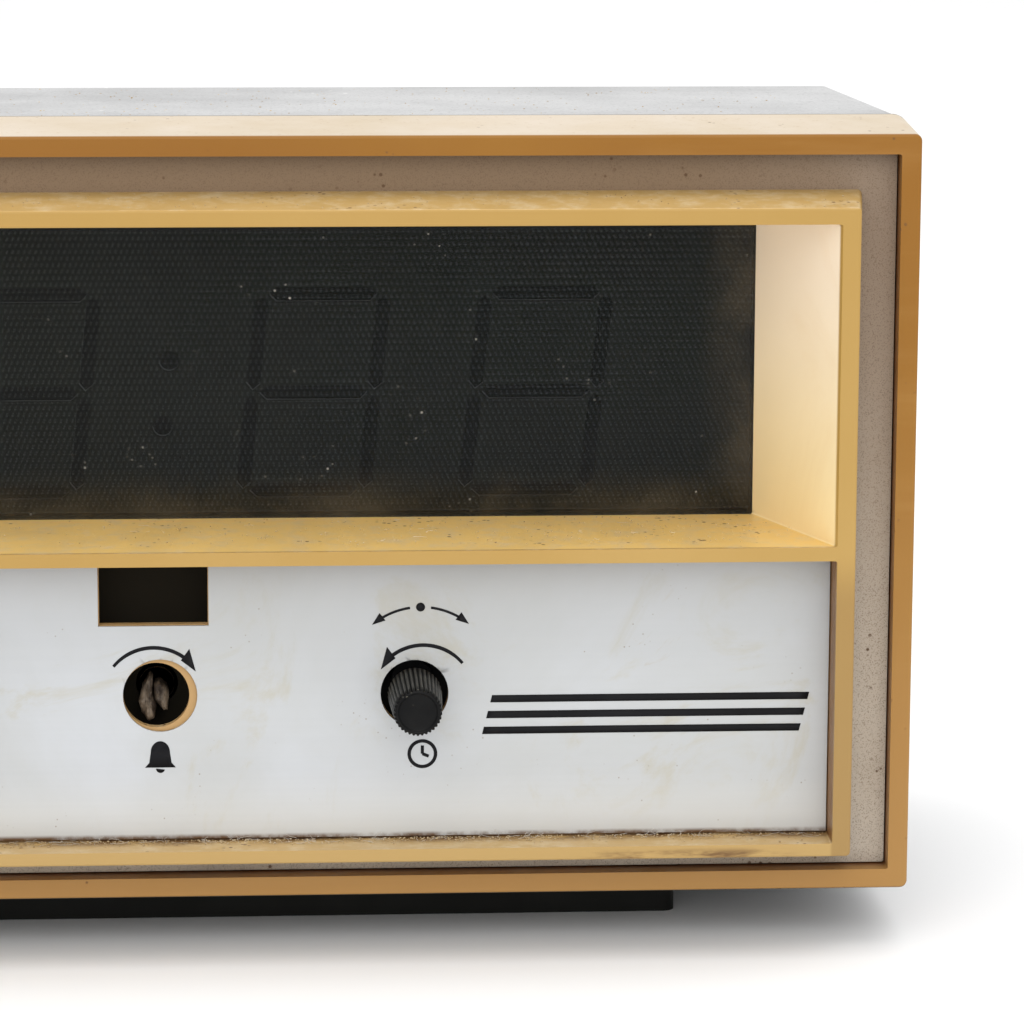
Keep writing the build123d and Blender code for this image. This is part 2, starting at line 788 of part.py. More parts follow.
def involute(radius, base):
    """Angle gained along an involute from its base circle out to a radius."""
    roll = sqrt(max((radius / base) ** 2 - 1, 0))
    return roll - atan2(roll, 1)


def gear(left, width, depth, z, teeth, module, phase=0.0, mode=Mode.ADD):
    """A spur gear along X with one tooth centred at the phase angle, in degrees from straight back."""
    pitch = module * teeth / 2
    base = pitch * cos(radians(PRESSURE_ANGLE))
    tip = pitch + ADDENDUM * module
    root = pitch - DEDENDUM * module
    half = pi / (2 * teeth) - BACKLASH / 2 / pitch + involute(pitch, base)
    foot = max(base, root + FLANK_START)
    flank = [foot + (tip - foot) * step / 4 for step in range(5)]
    with BuildSketch(Plane(origin=(left, y_at(depth), z), x_dir=(0, 1, 0), z_dir=(1, 0, 0))) as profile:
        for tooth in range(teeth):
            middle = radians(phase) + 2 * pi * tooth / teeth
            near = [(radius, middle - half + involute(radius, base)) for radius in flank]
            far = [(radius, middle + half - involute(radius, base)) for radius in reversed(flank)]
            inner = root - ROOT_OVERLAP
            ends = [(inner, middle - half)] + near + far + [(inner, middle + half)]
            with BuildLine():
                Polyline(*[(r * cos(angle), r * sin(angle)) for r, angle in ends], close=True)
            make_face()
        Circle(root)
    extrude(profile.sketch, amount=width, mode=mode)


def cam_track(middle, lit, places):
    """One cam of a drum, raised wherever its segment is lit."""
    left = middle - TRACK_WIDTH / 2
    with BuildSketch(Plane(origin=(left, y_at(AXLE_D), AXLE_Z), x_dir=(0, 1, 0), z_dir=(1, 0, 0))) as cam:
        Circle(DRUM_R)
        for place in lit:
            angle = 180 + 360 * (place + 0.5) / places
            width = min(LOBE_WIDTH, 2 * pi * DRUM_R / places - LOBE_SPACING)
            with Locations(Location((DRUM_R * cos(radians(angle)), DRUM_R * sin(radians(angle))), angle)):
                Rectangle(2 * LOBE_HEIGHT, width)
    extrude(cam.sketch, amount=TRACK_WIDTH)


def drum_tracks(x, figures):
    """The seven cams of a digit, for the figures that follow one another round its drum."""
    for index, letter in enumerate(TRACK_ORDER):
        lit = [place for place, figure in enumerate(figures) if letter in LIT[figure]]
        cam_track(x + (index - 3) * TRACK_PITCH, lit, len(figures))


def mate_phase(direction, teeth):
    """Phase of a gear whose tooth gap faces back along a direction, in degrees from straight back."""
    return direction + 180 + 180 / teeth


UNIT_GEAR_X = 48.0
TEN_GEAR_X = 42.0
TEN_PINION_X = 7.0
HOUR_GEAR_X = 0.0
UNIT_WHEEL_X = 76.0
FIRST_BIG = 36
FIRST_SMALL = 16
TEN_TEETH = 32
SECOND_SMALL = 12
HOUR_TEETH = 48
CARRY_TEETH = 12

drive_distance = hypot(MOTOR_D - AXLE_D, MOTOR_Z - AXLE_Z)
drive_angle = atan2(MOTOR_Z - AXLE_Z, MOTOR_D - AXLE_D)
near_side = MODULE * (UNIT_WHEEL_TEETH + IDLER_TEETH) / 2
far_side = MODULE * (IDLER_TEETH + PINION_TEETH) / 2
corner = acos((near_side**2 + drive_distance**2 - far_side**2) / (2 * near_side * drive_distance))
idler_angle = drive_angle - corner
IDLER_D = AXLE_D + near_side * cos(idler_angle)
IDLER_Z = AXLE_Z + near_side * sin(idler_angle)
pinion_angle = atan2(MOTOR_Z - IDLER_Z, MOTOR_D - IDLER_D)

with BuildPart() as unit_drum:
    rod(UNIT_GEAR_X, UNIT_WHEEL_X + GEAR_WIDTH, AXLE_D, AXLE_Z, HUB_R)
    span = 3 * TRACK_PITCH + TRACK_WIDTH / 2
    rod(DIGIT_X["unit"] - span, DIGIT_X["unit"] + span, AXLE_D, AXLE_Z, CORE_R)
    drum_tracks(DIGIT_X["unit"], range(10))
    gear(UNIT_GEAR_X, GEAR_WIDTH, AXLE_D, AXLE_Z, CARRY_TEETH, MODULE, LAY_ANGLE)
    gear(
        UNIT_WHEEL_X,
        GEAR_WIDTH,
        AXLE_D,
        AXLE_Z,
        UNIT_WHEEL_TEETH,
        MODULE,
        degrees(idler_angle),
    )
    rod(UNIT_GEAR_X - 1, UNIT_WHEEL_X + GEAR_WIDTH + 1, AXLE_D, AXLE_Z, AXLE_R + RUNNING, Mode.SUBTRACT)
save(unit_drum, "unit_drum")

with BuildPart() as ten_drum:
    rod(TEN_PINION_X, TEN_GEAR_X + GEAR_WIDTH, AXLE_D, AXLE_Z, HUB_R)
    rod(DIGIT_X["ten"] - span, DIGIT_X["ten"] + span, AXLE_D, AXLE_Z, CORE_R)
    drum_tracks(DIGIT_X["ten"], range(6))
    gear(
        TEN_GEAR_X,
        GEAR_WIDTH,
        AXLE_D,
        AXLE_Z,
        TEN_TEETH,
        MODULE,
        LAY_ANGLE,
    )
    gear(TEN_PINION_X, GEAR_WIDTH, AXLE_D, AXLE_Z, CARRY_TEETH, MODULE, LAY_ANGLE)
    rod(TEN_PINION_X - 1, TEN_GEAR_X + GEAR_WIDTH + 1, AXLE_D, AXLE_Z, AXLE_R + RUNNING, Mode.SUBTRACT)
save(ten_drum, "ten_drum")

HOURS = [1, 2, 3, 4, 5, 6, 7, 8, 9, 0, 1, 2]
TWO_FIGURES = [9, 10, 11]  # places of ten, eleven and twelve o'clock
with BuildPart() as hour_drum:
    rod(ONE_TRACK_X - TRACK_WIDTH / 2, HOUR_GEAR_X + GEAR_WIDTH, AXLE_D, AXLE_Z, HUB_R)
    rod(DIGIT_X["hour"] - span, DIGIT_X["hour"] + span, AXLE_D, AXLE_Z, CORE_R)
    drum_tracks(DIGIT_X["hour"], HOURS)
    cam_track(ONE_TRACK_X, TWO_FIGURES, len(HOURS))
    gear(HOUR_GEAR_X, GEAR_WIDTH, AXLE_D, AXLE_Z, HOUR_TEETH, FINE_MODULE, LAY_ANGLE)
    bore_left = ONE_TRACK_X - TRACK_WIDTH / 2 - 1
    rod(bore_left, HOUR_GEAR_X + GEAR_WIDTH + 1, AXLE_D, AXLE_Z, AXLE_R + RUNNING, Mode.SUBTRACT)
save(hour_drum, "hour_drum")

TRANSFER_HUB = 3.2
with BuildPart() as first_transfer_gear:
    rod(TEN_GEAR_X, UNIT_GEAR_X + GEAR_WIDTH, LAY_D, LAY_Z, TRANSFER_HUB)
    gear(
        UNIT_GEAR_X,
        GEAR_WIDTH,
        LAY_D,
        LAY_Z,
        FIRST_BIG,
        MODULE,
        mate_phase(LAY_ANGLE, FIRST_BIG),
    )
    gear(
        TEN_GEAR_X,
        GEAR_WIDTH,
        LAY_D,
        LAY_Z,
        FIRST_SMALL,
        MODULE,
        mate_phase(LAY_ANGLE, FIRST_SMALL),
    )
    rod(TEN_GEAR_X - 1, UNIT_GEAR_X + GEAR_WIDTH + 1, LAY_D, LAY_Z, LAY_R + RUNNING, Mode.SUBTRACT)
save(first_transfer_gear, "first_transfer_gear")

with BuildPart() as second_transfer_gear:
    rod(HOUR_GEAR_X, TEN_PINION_X + GEAR_WIDTH, LAY_D, LAY_Z, TRANSFER_HUB)
    gear(
        TEN_PINION_X,
        GEAR_WIDTH,
        LAY_D,
        LAY_Z,
        FIRST_BIG,
        MODULE,
        mate_phase(LAY_ANGLE, FIRST_BIG),
    )
    gear(
        HOUR_GEAR_X,
        GEAR_WIDTH,
        LAY_D,
        LAY_Z,
        SECOND_SMALL,
        FINE_MODULE,
        mate_phase(LAY_ANGLE, SECOND_SMALL),
    )
    rod(HOUR_GEAR_X - 1, TEN_PINION_X + GEAR_WIDTH + 1, LAY_D, LAY_Z, LAY_R + RUNNING, Mode.SUBTRACT)
save(second_transfer_gear, "second_transfer_gear")

with BuildPart() as idler_gear:
    gear(
        UNIT_WHEEL_X,
        GEAR_WIDTH,
        IDLER_D,
        IDLER_Z,
        IDLER_TEETH,
        MODULE,
        mate_phase(degrees(idler_angle), IDLER_TEETH),
    )
    rod(UNIT_WHEEL_X - 1, UNIT_WHEEL_X + GEAR_WIDTH + 1, IDLER_D, IDLER_Z, LAY_R + RUNNING, Mode.SUBTRACT)
save(idler_gear, "idler_gear")

# Angle by which the idler's nearest tooth misses the line to the motor, carried over to the pinion.
idler_pitch = 360 / IDLER_TEETH
idler_miss = (mate_phase(degrees(idler_angle), IDLER_TEETH) - degrees(pinion_angle)) % idler_pitch
pinion_phase = mate_phase(degrees(pinion_angle), PINION_TEETH) - idler_miss * IDLER_TEETH / PINION_TEETH
MOTOR_EDGE = 2.0
MOTOR_CAP = 2.0
MOTOR_CAP_R = 5.0
MOTOR_BORE = 3.0
SHAFT_IN_MOTOR = 1.0
with BuildPart() as motor_pinion:
    gear(UNIT_WHEEL_X, GEAR_WIDTH, MOTOR_D, MOTOR_Z, PINION_TEETH, MODULE, pinion_phase)
    rod(UNIT_WHEEL_X + GEAR_WIDTH, PLATE_RIGHT + PLATE + SHAFT_IN_MOTOR, MOTOR_D, MOTOR_Z, MOTOR_SHAFT_R)
save(motor_pinion, "motor_pinion")

with BuildPart() as motor_body:
    motor_left = PLATE_RIGHT + PLATE
    motor_right = motor_left + MOTOR_LENGTH
    rod(motor_left, motor_right, MOTOR_D, MOTOR_Z, MOTOR_R)
    fillet(motor_body.faces().sort_by(Axis.X)[-1].edges(), MOTOR_EDGE)
    rod(motor_right, motor_right + MOTOR_CAP, MOTOR_D, MOTOR_Z, MOTOR_CAP_R)
    rod(motor_left - 1, motor_left + MOTOR_BORE, MOTOR_D, MOTOR_Z, MOTOR_SHAFT_R + RUNNING, Mode.SUBTRACT)
save(motor_body, "motor_body")

with BuildPart() as drum_axle:
    rod(PLATE_LEFT, PLATE_RIGHT + PLATE, AXLE_D, AXLE_Z, AXLE_R)
save(drum_axle, "drum_axle")

with BuildPart() as layshaft:
    rod(PLATE_LEFT, PLATE_RIGHT + PLATE, LAY_D, LAY_Z, LAY_R)
save(layshaft, "layshaft")

PILLAR_R = 2.5
PILLARS = [(88.0, 112.0), (88.0, 30.0), (40.0, 30.0)]  # depth and z
PLATE_BOTTOM = CHASSIS_Z + SHEET
PLATE_CORNER = 4.0
STUD_GAP = 0.6  # the idler's stud runs this far past its gear
MOTOR_HOLE_GAP = 0.5
for name, left in (("left_plate", PLATE_LEFT), ("right_plate", PLATE_RIGHT)):
    with BuildPart() as plate:
        with BuildSketch(side_at(left)):
            with BuildLine():
                FilletPolyline(
                    (y_at(FRAME_BACK), PLATE_BOTTOM),
                    (y_at(FRAME_BACK), PLATE_TOP),
                    (y_at(PLATE_BACK), PLATE_TOP),
                    (y_at(PLATE_BACK), PLATE_BOTTOM),
                    radius=PLATE_CORNER,
                    close=True,
                )
            make_face()
        extrude(amount=PLATE)
        rod(left - 1, left + PLATE + 1, AXLE_D, AXLE_Z, AXLE_R, Mode.SUBTRACT)
        rod(left - 1, left + PLATE + 1, LAY_D, LAY_Z, LAY_R, Mode.SUBTRACT)
        for side in (-1, 1):
            rod(left - 1, left + PLATE + 1, LAMP_D, DIGIT_Z + side * LAMP_RISE, LAMP_R, Mode.SUBTRACT)
        if name == "right_plate":
            rod(UNIT_WHEEL_X - STUD_GAP, PLATE_RIGHT + PLATE, IDLER_D, IDLER_Z, LAY_R)
            rod(left - 1, left + PLATE + 1, MOTOR_D, MOTOR_Z, MOTOR_SHAFT_R + MOTOR_HOLE_GAP, Mode.SUBTRACT)
    save(plate, name)

with BuildPart() as plate_pillars:
    for depth, z in PILLARS:
        rod(PLATE_LEFT + PLATE, PLATE_RIGHT, depth, z, PILLAR_R)
save(plate_pillars, "plate_pillars")

# ---------------------------------------------------------------- chassis and controls

COIL_X = -30.0
COIL_D = 62.0
COIL_R = 8.0
COIL_HEIGHT = 16.0
REED_Z = PLATE_BOTTOM + COIL_HEIGHT + 5.0
REED_POST_X = COIL_X - 20.0
REED_POST_DEPTH = 5.0  # half of the post, front to back
REED_POST_HALF = 3.0
REED_GAP = 0.4
REED_EYE_R = 1.6
REED_PIN_R = 0.8
EAR = 1.6
BRACKET_BACK = BRACKET_FRONT + SHEET
with BuildPart() as chassis_base:
    slab(CHASSIS_FRONT, PLATE_BACK, CHASSIS_LEFT, CHASSIS_RIGHT, CHASSIS_Z, PLATE_BOTTOM)
    for x, depth in PLINTH_SCREWS:
        with BuildSketch(Plane.XY.offset(CASE_FLOOR_Z + CASE_WALL)) as post:
            with Locations((x, y_at(depth))):
                Circle(BOSS_R)
        extrude(post.sketch, amount=CHASSIS_Z - CASE_FLOOR_Z - CASE_WALL)
    slab(BRACKET_FRONT, BRACKET_BACK, -BRACKET_HALF, BRACKET_HALF, PLATE_BOTTOM, BRACKET_TOP)
    for x in (TIME_X, ALARM_X, SWITCH_X):
        disc(BRACKET_FRONT - 1, BRACKET_BACK + 1, x, CONTROL_Z, SLEEVE_R + RUNNING, Mode.SUBTRACT)
    left = REED_POST_X - REED_POST_HALF
    right = REED_POST_X + REED_POST_HALF
    slab(
        COIL_D - REED_POST_DEPTH,
        COIL_D + REED_POST_DEPTH,
        left,
        right,
        PLATE_BOTTOM,
        REED_Z - REED_EYE_R - REED_GAP,
    )
    for ear in (COIL_D - REED_POST_DEPTH, COIL_D + REED_POST_DEPTH - EAR):
        slab(ear, ear + EAR, left, right, PLATE_BOTTOM, REED_Z + REED_EYE_R)
    disc(COIL_D - REED_POST_DEPTH, COIL_D + REED_POST_DEPTH, REED_POST_X, REED_Z, REED_PIN_R)
save(chassis_base, "chassis_base")

KNOB_BASE_R = 4.5
KNOB_END_R = 4.2
KNOB_NECK_R = 4.4
KNOB_RIM_WIDTH = 0.7
KNOB_FRONT = -14.9
KNOB_BACK = -1.2
KNOB_RIBS = 36
RIB_R = 0.16
KNOB_RIM = 0.5
KNOB_SKIRT = 2.0


def ribbed_knob(x):
    """A slim tapered push-pull knob, ribbed round its base and with a shallow dished end."""
    with BuildSketch(face_at(KNOB_BACK)) as base:
        with Locations((x, CONTROL_Z)):
            Circle(KNOB_BASE_R)
            with PolarLocations(KNOB_BASE_R, KNOB_RIBS):
                Circle(RIB_R)
    extrude(base.sketch, amount=KNOB_SKIRT)
    with BuildSketch(face_at(KNOB_BACK - KNOB_SKIRT)) as neck:
        with Locations((x, CONTROL_Z)):
            Circle(KNOB_NECK_R)
    with BuildSketch(face_at(KNOB_FRONT)) as end:
        with Locations((x, CONTROL_Z)):
            Circle(KNOB_END_R)
    loft([neck.sketch, end.sketch])
    disc(KNOB_FRONT - 1, KNOB_FRONT + KNOB_RIM, x, CONTROL_Z, KNOB_END_R - KNOB_RIM_WIDTH, Mode.SUBTRACT)


with BuildPart() as time_set_knob:
    ribbed_knob(TIME_X)
save(time_set_knob, "time_set_knob")

SLEEVE_FRONT = 9.0
SLEEVE_BACK = 34.0
FLANGE = 1.5
FLANGE_BEHIND_BRACKET = 5.0
SHAFT_PAST_SLEEVE = 6.0
SWITCH_FLANGE = 2.0
WHEEL_GAP = 0.3
WHEEL = 3.0
WHEEL_R = 6.0
flange_front = BRACKET_BACK + FLANGE_BEHIND_BRACKET
with BuildPart() as time_set_sleeve:
    disc(SLEEVE_FRONT, SLEEVE_BACK, TIME_X, CONTROL_Z, SLEEVE_R)
    disc(flange_front, flange_front + FLANGE, TIME_X, CONTROL_Z, SLEEVE_R + FLANGE)
    disc(SLEEVE_FRONT - 1, SLEEVE_BACK + 1, TIME_X, CONTROL_Z, SHAFT_R + RUNNING, Mode.SUBTRACT)
save(time_set_sleeve, "time_set_sleeve")

with BuildPart() as time_set_shaft:
    disc(KNOB_BACK, SLEEVE_BACK + SHAFT_PAST_SLEEVE, TIME_X, CONTROL_Z, SHAFT_R)
    disc(SLEEVE_BACK + WHEEL_GAP, SLEEVE_BACK + WHEEL_GAP + WHEEL, TIME_X, CONTROL_Z, WHEEL_R)
save(time_set_shaft, "time_set_shaft")

with BuildPart() as alarm_switch_knob:
    ribbed_knob(SWITCH_X)
    disc(KNOB_BACK, SLEEVE_BACK, SWITCH_X, CONTROL_Z, SLEEVE_R)
    disc(SLEEVE_BACK - SWITCH_FLANGE, SLEEVE_BACK, SWITCH_X, CONTROL_Z, SLEEVE_R + FLANGE)
save(alarm_switch_knob, "alarm_switch_knob")

STUB_FRONT = 1.2
STUB_R = 2.9
SHAFT_BACK = 28.0
ALARM_CAM_R = 9.0
CAM_FRONT = 20.0
CAM_BACK = 23.0
NOTCH_DEPTH = 2.0
NOTCH_HALF = 1.5
SPLIT_DEPTH = 3.0
SPLIT_LEFT = -0.3
SPLIT_RIGHT = 0.5
DIAL = 1.5
with BuildPart() as alarm_set_shaft:
    disc(STUB_FRONT, DIAL_FRONT, ALARM_X, CONTROL_Z, STUB_R)
    disc(DIAL_FRONT, SHAFT_BACK, ALARM_X, CONTROL_Z, SLEEVE_R)
    disc(CAM_FRONT, CAM_BACK, ALARM_X, CONTROL_Z, ALARM_CAM_R)
    slab(
        CAM_FRONT - 1,
        CAM_BACK + 1,
        ALARM_X - NOTCH_HALF,
        ALARM_X + NOTCH_HALF,
        CONTROL_Z + ALARM_CAM_R - NOTCH_DEPTH,
        CONTROL_Z + ALARM_CAM_R + 1,
        mode=Mode.SUBTRACT,
    )
    slab(
        STUB_FRONT - 1,
        STUB_FRONT + SPLIT_DEPTH,
        ALARM_X + SPLIT_LEFT,
        ALARM_X + SPLIT_RIGHT,
        CONTROL_Z - STUB_R - 1,
        CONTROL_Z + STUB_R + 1,
        mode=Mode.SUBTRACT,
    )
save(alarm_set_shaft, "alarm_set_shaft")

with BuildPart() as alarm_dial:
    disc(DIAL_FRONT, DIAL_FRONT + DIAL, ALARM_X, CONTROL_Z, DIAL_R)
    disc(DIAL_FRONT - 1, DIAL_FRONT + DIAL + 1, ALARM_X, CONTROL_Z, SLEEVE_R, Mode.SUBTRACT)
save(alarm_dial, "alarm_dial")

COIL_CHEEK = 1.5
COIL_CHEEK_R = COIL_R + 1.0
CORE_TIP = 2.0
COIL_CORE_R = 3.0
with BuildPart() as buzzer_coil:
    for bottom, height, radius in (
        (PLATE_BOTTOM, COIL_CHEEK, COIL_CHEEK_R),
        (PLATE_BOTTOM, COIL_HEIGHT, COIL_R),
        (PLATE_BOTTOM + COIL_HEIGHT - COIL_CHEEK, COIL_CHEEK, COIL_CHEEK_R),
        (PLATE_BOTTOM, COIL_HEIGHT + CORE_TIP, COIL_CORE_R),
    ):
        with BuildSketch(Plane.XY.offset(bottom)) as section:
            with Locations((COIL_X, y_at(COIL_D))):
                Circle(radius)
        extrude(section.sketch, amount=height)
save(buzzer_coil, "buzzer_coil")

REED = 0.8
REED_PAST_COIL = 8.0
ARMATURE_HALF = 4.0
ARMATURE_HEIGHT = 2.2
eye_half = REED_POST_DEPTH - EAR - REED_GAP
reed_top = REED_Z + REED / 2
with BuildPart() as buzzer_reed:
    slab(
        COIL_D - eye_half,
        COIL_D + eye_half,
        REED_POST_X,
        COIL_X + REED_PAST_COIL,
        REED_Z - REED / 2,
        reed_top,
    )
    disc(COIL_D - eye_half, COIL_D + eye_half, REED_POST_X, REED_Z, REED_EYE_R)
    disc(
        COIL_D - REED_POST_DEPTH,
        COIL_D + REED_POST_DEPTH,
        REED_POST_X,
        REED_Z,
        REED_PIN_R + RUNNING,
        Mode.SUBTRACT,
    )
    slab(
        COIL_D - ARMATURE_HALF,
        COIL_D + ARMATURE_HALF,
        COIL_X - ARMATURE_HALF,
        COIL_X + ARMATURE_HALF,
        reed_top,
        reed_top + ARMATURE_HEIGHT,
    )
save(buzzer_reed, "buzzer_reed")
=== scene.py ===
import json
import math
import random

import bmesh
import bpy
from mathutils import Matrix, Vector, noise


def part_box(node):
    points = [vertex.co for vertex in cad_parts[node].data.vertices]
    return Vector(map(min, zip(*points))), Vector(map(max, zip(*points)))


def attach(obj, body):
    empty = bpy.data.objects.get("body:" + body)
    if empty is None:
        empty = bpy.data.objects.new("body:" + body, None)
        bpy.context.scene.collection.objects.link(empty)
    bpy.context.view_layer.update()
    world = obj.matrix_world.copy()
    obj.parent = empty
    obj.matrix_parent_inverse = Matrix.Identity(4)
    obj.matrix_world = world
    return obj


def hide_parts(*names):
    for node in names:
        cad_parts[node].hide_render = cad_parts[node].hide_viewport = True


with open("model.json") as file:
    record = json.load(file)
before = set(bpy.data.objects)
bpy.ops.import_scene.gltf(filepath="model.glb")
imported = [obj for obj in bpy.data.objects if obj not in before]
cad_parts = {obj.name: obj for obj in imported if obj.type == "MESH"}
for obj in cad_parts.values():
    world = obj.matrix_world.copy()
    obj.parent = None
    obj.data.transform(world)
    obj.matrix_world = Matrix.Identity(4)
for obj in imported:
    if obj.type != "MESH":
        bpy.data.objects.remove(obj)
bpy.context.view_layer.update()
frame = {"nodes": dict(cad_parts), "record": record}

MM = 0.001
random.seed(11)

# ---------------------------------------------------------------- places, from the frame's boxes

MASK_FACE_DEPTH = 2.5 * MM  # from the front of the segment mask's rim to its face
CROSSBAR_HEIGHT = 2.3 * MM

bezel_low, bezel_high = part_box("outer_bezel")
recess_low, recess_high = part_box("recess_panel")
inner_low, inner_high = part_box("inner_bezel")
panel_low, panel_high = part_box("control_panel")
lens_low, lens_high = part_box("window_lens")
knob_low, knob_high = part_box("time_set_knob")
switch_low, switch_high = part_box("alarm_switch_knob")
shaft_low, shaft_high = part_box("alarm_set_shaft")
case_low, case_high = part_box("case_shell")
mask_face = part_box("segment_mask")[0].y + MASK_FACE_DEPTH

CONTROL_Z = (knob_low.z + knob_high.z) / 2
TIME_X = (knob_low.x + knob_high.x) / 2
SWITCH_X = (switch_low.x + switch_high.x) / 2
ALARM_X = (shaft_low.x + shaft_high.x) / 2
FRONT = bezel_low.y
FASCIA = panel_low.y
INNER_FRONT = inner_low.y
CROSSBAR_LOW = panel_high.z
CROSSBAR_TOP = panel_high.z + CROSSBAR_HEIGHT
OPENING_X = panel_high.x


# ---------------------------------------------------------------- node helpers

CREVICE_SAMPLES = 6


def linear(red, green, blue):
    """Linear colour from display values of 0 to 255."""
    values = []
    for value in (red, green, blue):
        share = value / 255
        values.append(share / 12.92 if share <= 0.04045 else ((share + 0.055) / 1.055) ** 2.4)
    return (*values, 1.0)


class Paint:
    """A material built from nodes over a Principled shader, in the row's own coordinates."""

    def __init__(self, name, roughness=0.5, specular=0.5, metallic=0.0, ior=1.5):
        self.material = bpy.data.materials.new(name)
        self.material.use_nodes = True
        self.nodes = self.material.node_tree.nodes
        self.links = self.material.node_tree.links
        self.shader = self.nodes["Principled BSDF"]
        self.set("Roughness", roughness)
        self.set("Specular IOR Level", specular)
        self.set("Metallic", metallic)
        self.set("IOR", ior)
        self.place = self.nodes.new("ShaderNodeTexCoord").outputs["Object"]
        self.height = None

    def set(self, socket, value):
        self.shader.inputs[socket].default_value = value

    def join(self, value, socket):
        if isinstance(value, bpy.types.NodeSocket):
            self.links.new(value, socket)
        else:
            socket.default_value = value

    def wire(self, value, socket):
        self.join(value, self.shader.inputs[socket])

    def stretch(self, x, y, z):
        node = self.nodes.new("ShaderNodeMapping")
        self.links.new(self.place, node.inputs["Vector"])
        node.inputs["Scale"].default_value = (x, y, z)
        return node.outputs["Vector"]

    def noise(self, scale, detail=4.0, rough=0.55, place=None, distortion=0.0):
        node = self.nodes.new("ShaderNodeTexNoise")
        node.inputs["Scale"].default_value = scale
        node.inputs["Detail"].default_value = detail
        node.inputs["Roughness"].default_value = rough
        node.inputs["Distortion"].default_value = distortion
        self.links.new(place or self.place, node.inputs["Vector"])
        return node.outputs["Fac"]

    def cells(self, scale):
        node = self.nodes.new("ShaderNodeTexVoronoi")
        node.inputs["Scale"].default_value = scale
        self.links.new(self.place, node.inputs["Vector"])
        return node.outputs["Distance"]

    def calculate(self, operation, first, second=0.0, third=0.0, clamp=False):
        node = self.nodes.new("ShaderNodeMath")
        node.operation = operation
        node.use_clamp = clamp
        self.join(first, node.inputs[0])
        self.join(second, node.inputs[1])
        if operation == "MULTIPLY_ADD":
            self.join(third, node.inputs[2])
        return node.outputs[0]

    def times(self, first, *others):
        """All values multiplied."""
        for other in others:
            first = self.calculate("MULTIPLY", first, other)
        return first

    def most(self, first, *others):
        """The largest of the values."""
        for other in others:
            first = self.calculate("MAXIMUM", first, other)
        return first

    def fade(self, value, low, high, out_low=0.0, out_high=1.0):
        node = self.nodes.new("ShaderNodeMapRange")
        node.interpolation_type = "SMOOTHSTEP"
        self.join(value, node.inputs["Value"])
        node.inputs["From Min"].default_value = low
        node.inputs["From Max"].default_value = high
        node.inputs["To Min"].default_value = out_low
        node.inputs["To Max"].default_value = out_high
        return node.outputs["Result"]

    def mix(self, share, first, second):
        node = self.nodes.new("ShaderNodeMix")
        node.data_type = "RGBA"
        self.join(share, node.inputs["Factor"])
        self.join(first, node.inputs[6])
        self.join(second, node.inputs[7])
        return node.outputs[2]

    def axes(self):
        """Separate x, y and z of the place."""
        node = self.nodes.new("ShaderNodeSeparateXYZ")
        self.links.new(self.place, node.inputs[0])
        return node.outputs

    def facing(self):
        """Separate x, y and z of the surface's normal."""
        geometry = self.nodes.new("ShaderNodeNewGeometry")
        node = self.nodes.new("ShaderNodeSeparateXYZ")
        self.links.new(geometry.outputs["Normal"], node.inputs[0])
        return node.outputs

    def crevice(self, distance):
        """1 in tight corners and 0 in the open."""
        node = self.nodes.new("ShaderNodeAmbientOcclusion")
        node.samples = CREVICE_SAMPLES
        node.inputs["Distance"].default_value = distance
        return self.calculate("SUBTRACT", 1.0, node.outputs["AO"], clamp=True)

    def bump(self, height, distance, strength=1.0):
        node = self.nodes.new("ShaderNodeBump")
        node.inputs["Strength"].default_value = strength
        node.inputs["Distance"].default_value = distance
        self.links.new(height, node.inputs["Height"])
        if self.height is not None:
            self.links.new(self.height, node.inputs["Normal"])
        self.height = node.outputs["Normal"]
        self.links.new(self.height, self.shader.inputs["Normal"])


# ---------------------------------------------------------------- materials


def specks(paint, scale, low, high):
    """Sparse small spots, 1 in a spot."""
    spot = paint.fade(paint.cells(scale), low, high, 1.0, 0.0)
    return paint.times(spot, paint.fade(paint.noise(scale * 0.17), 0.56, 0.66))


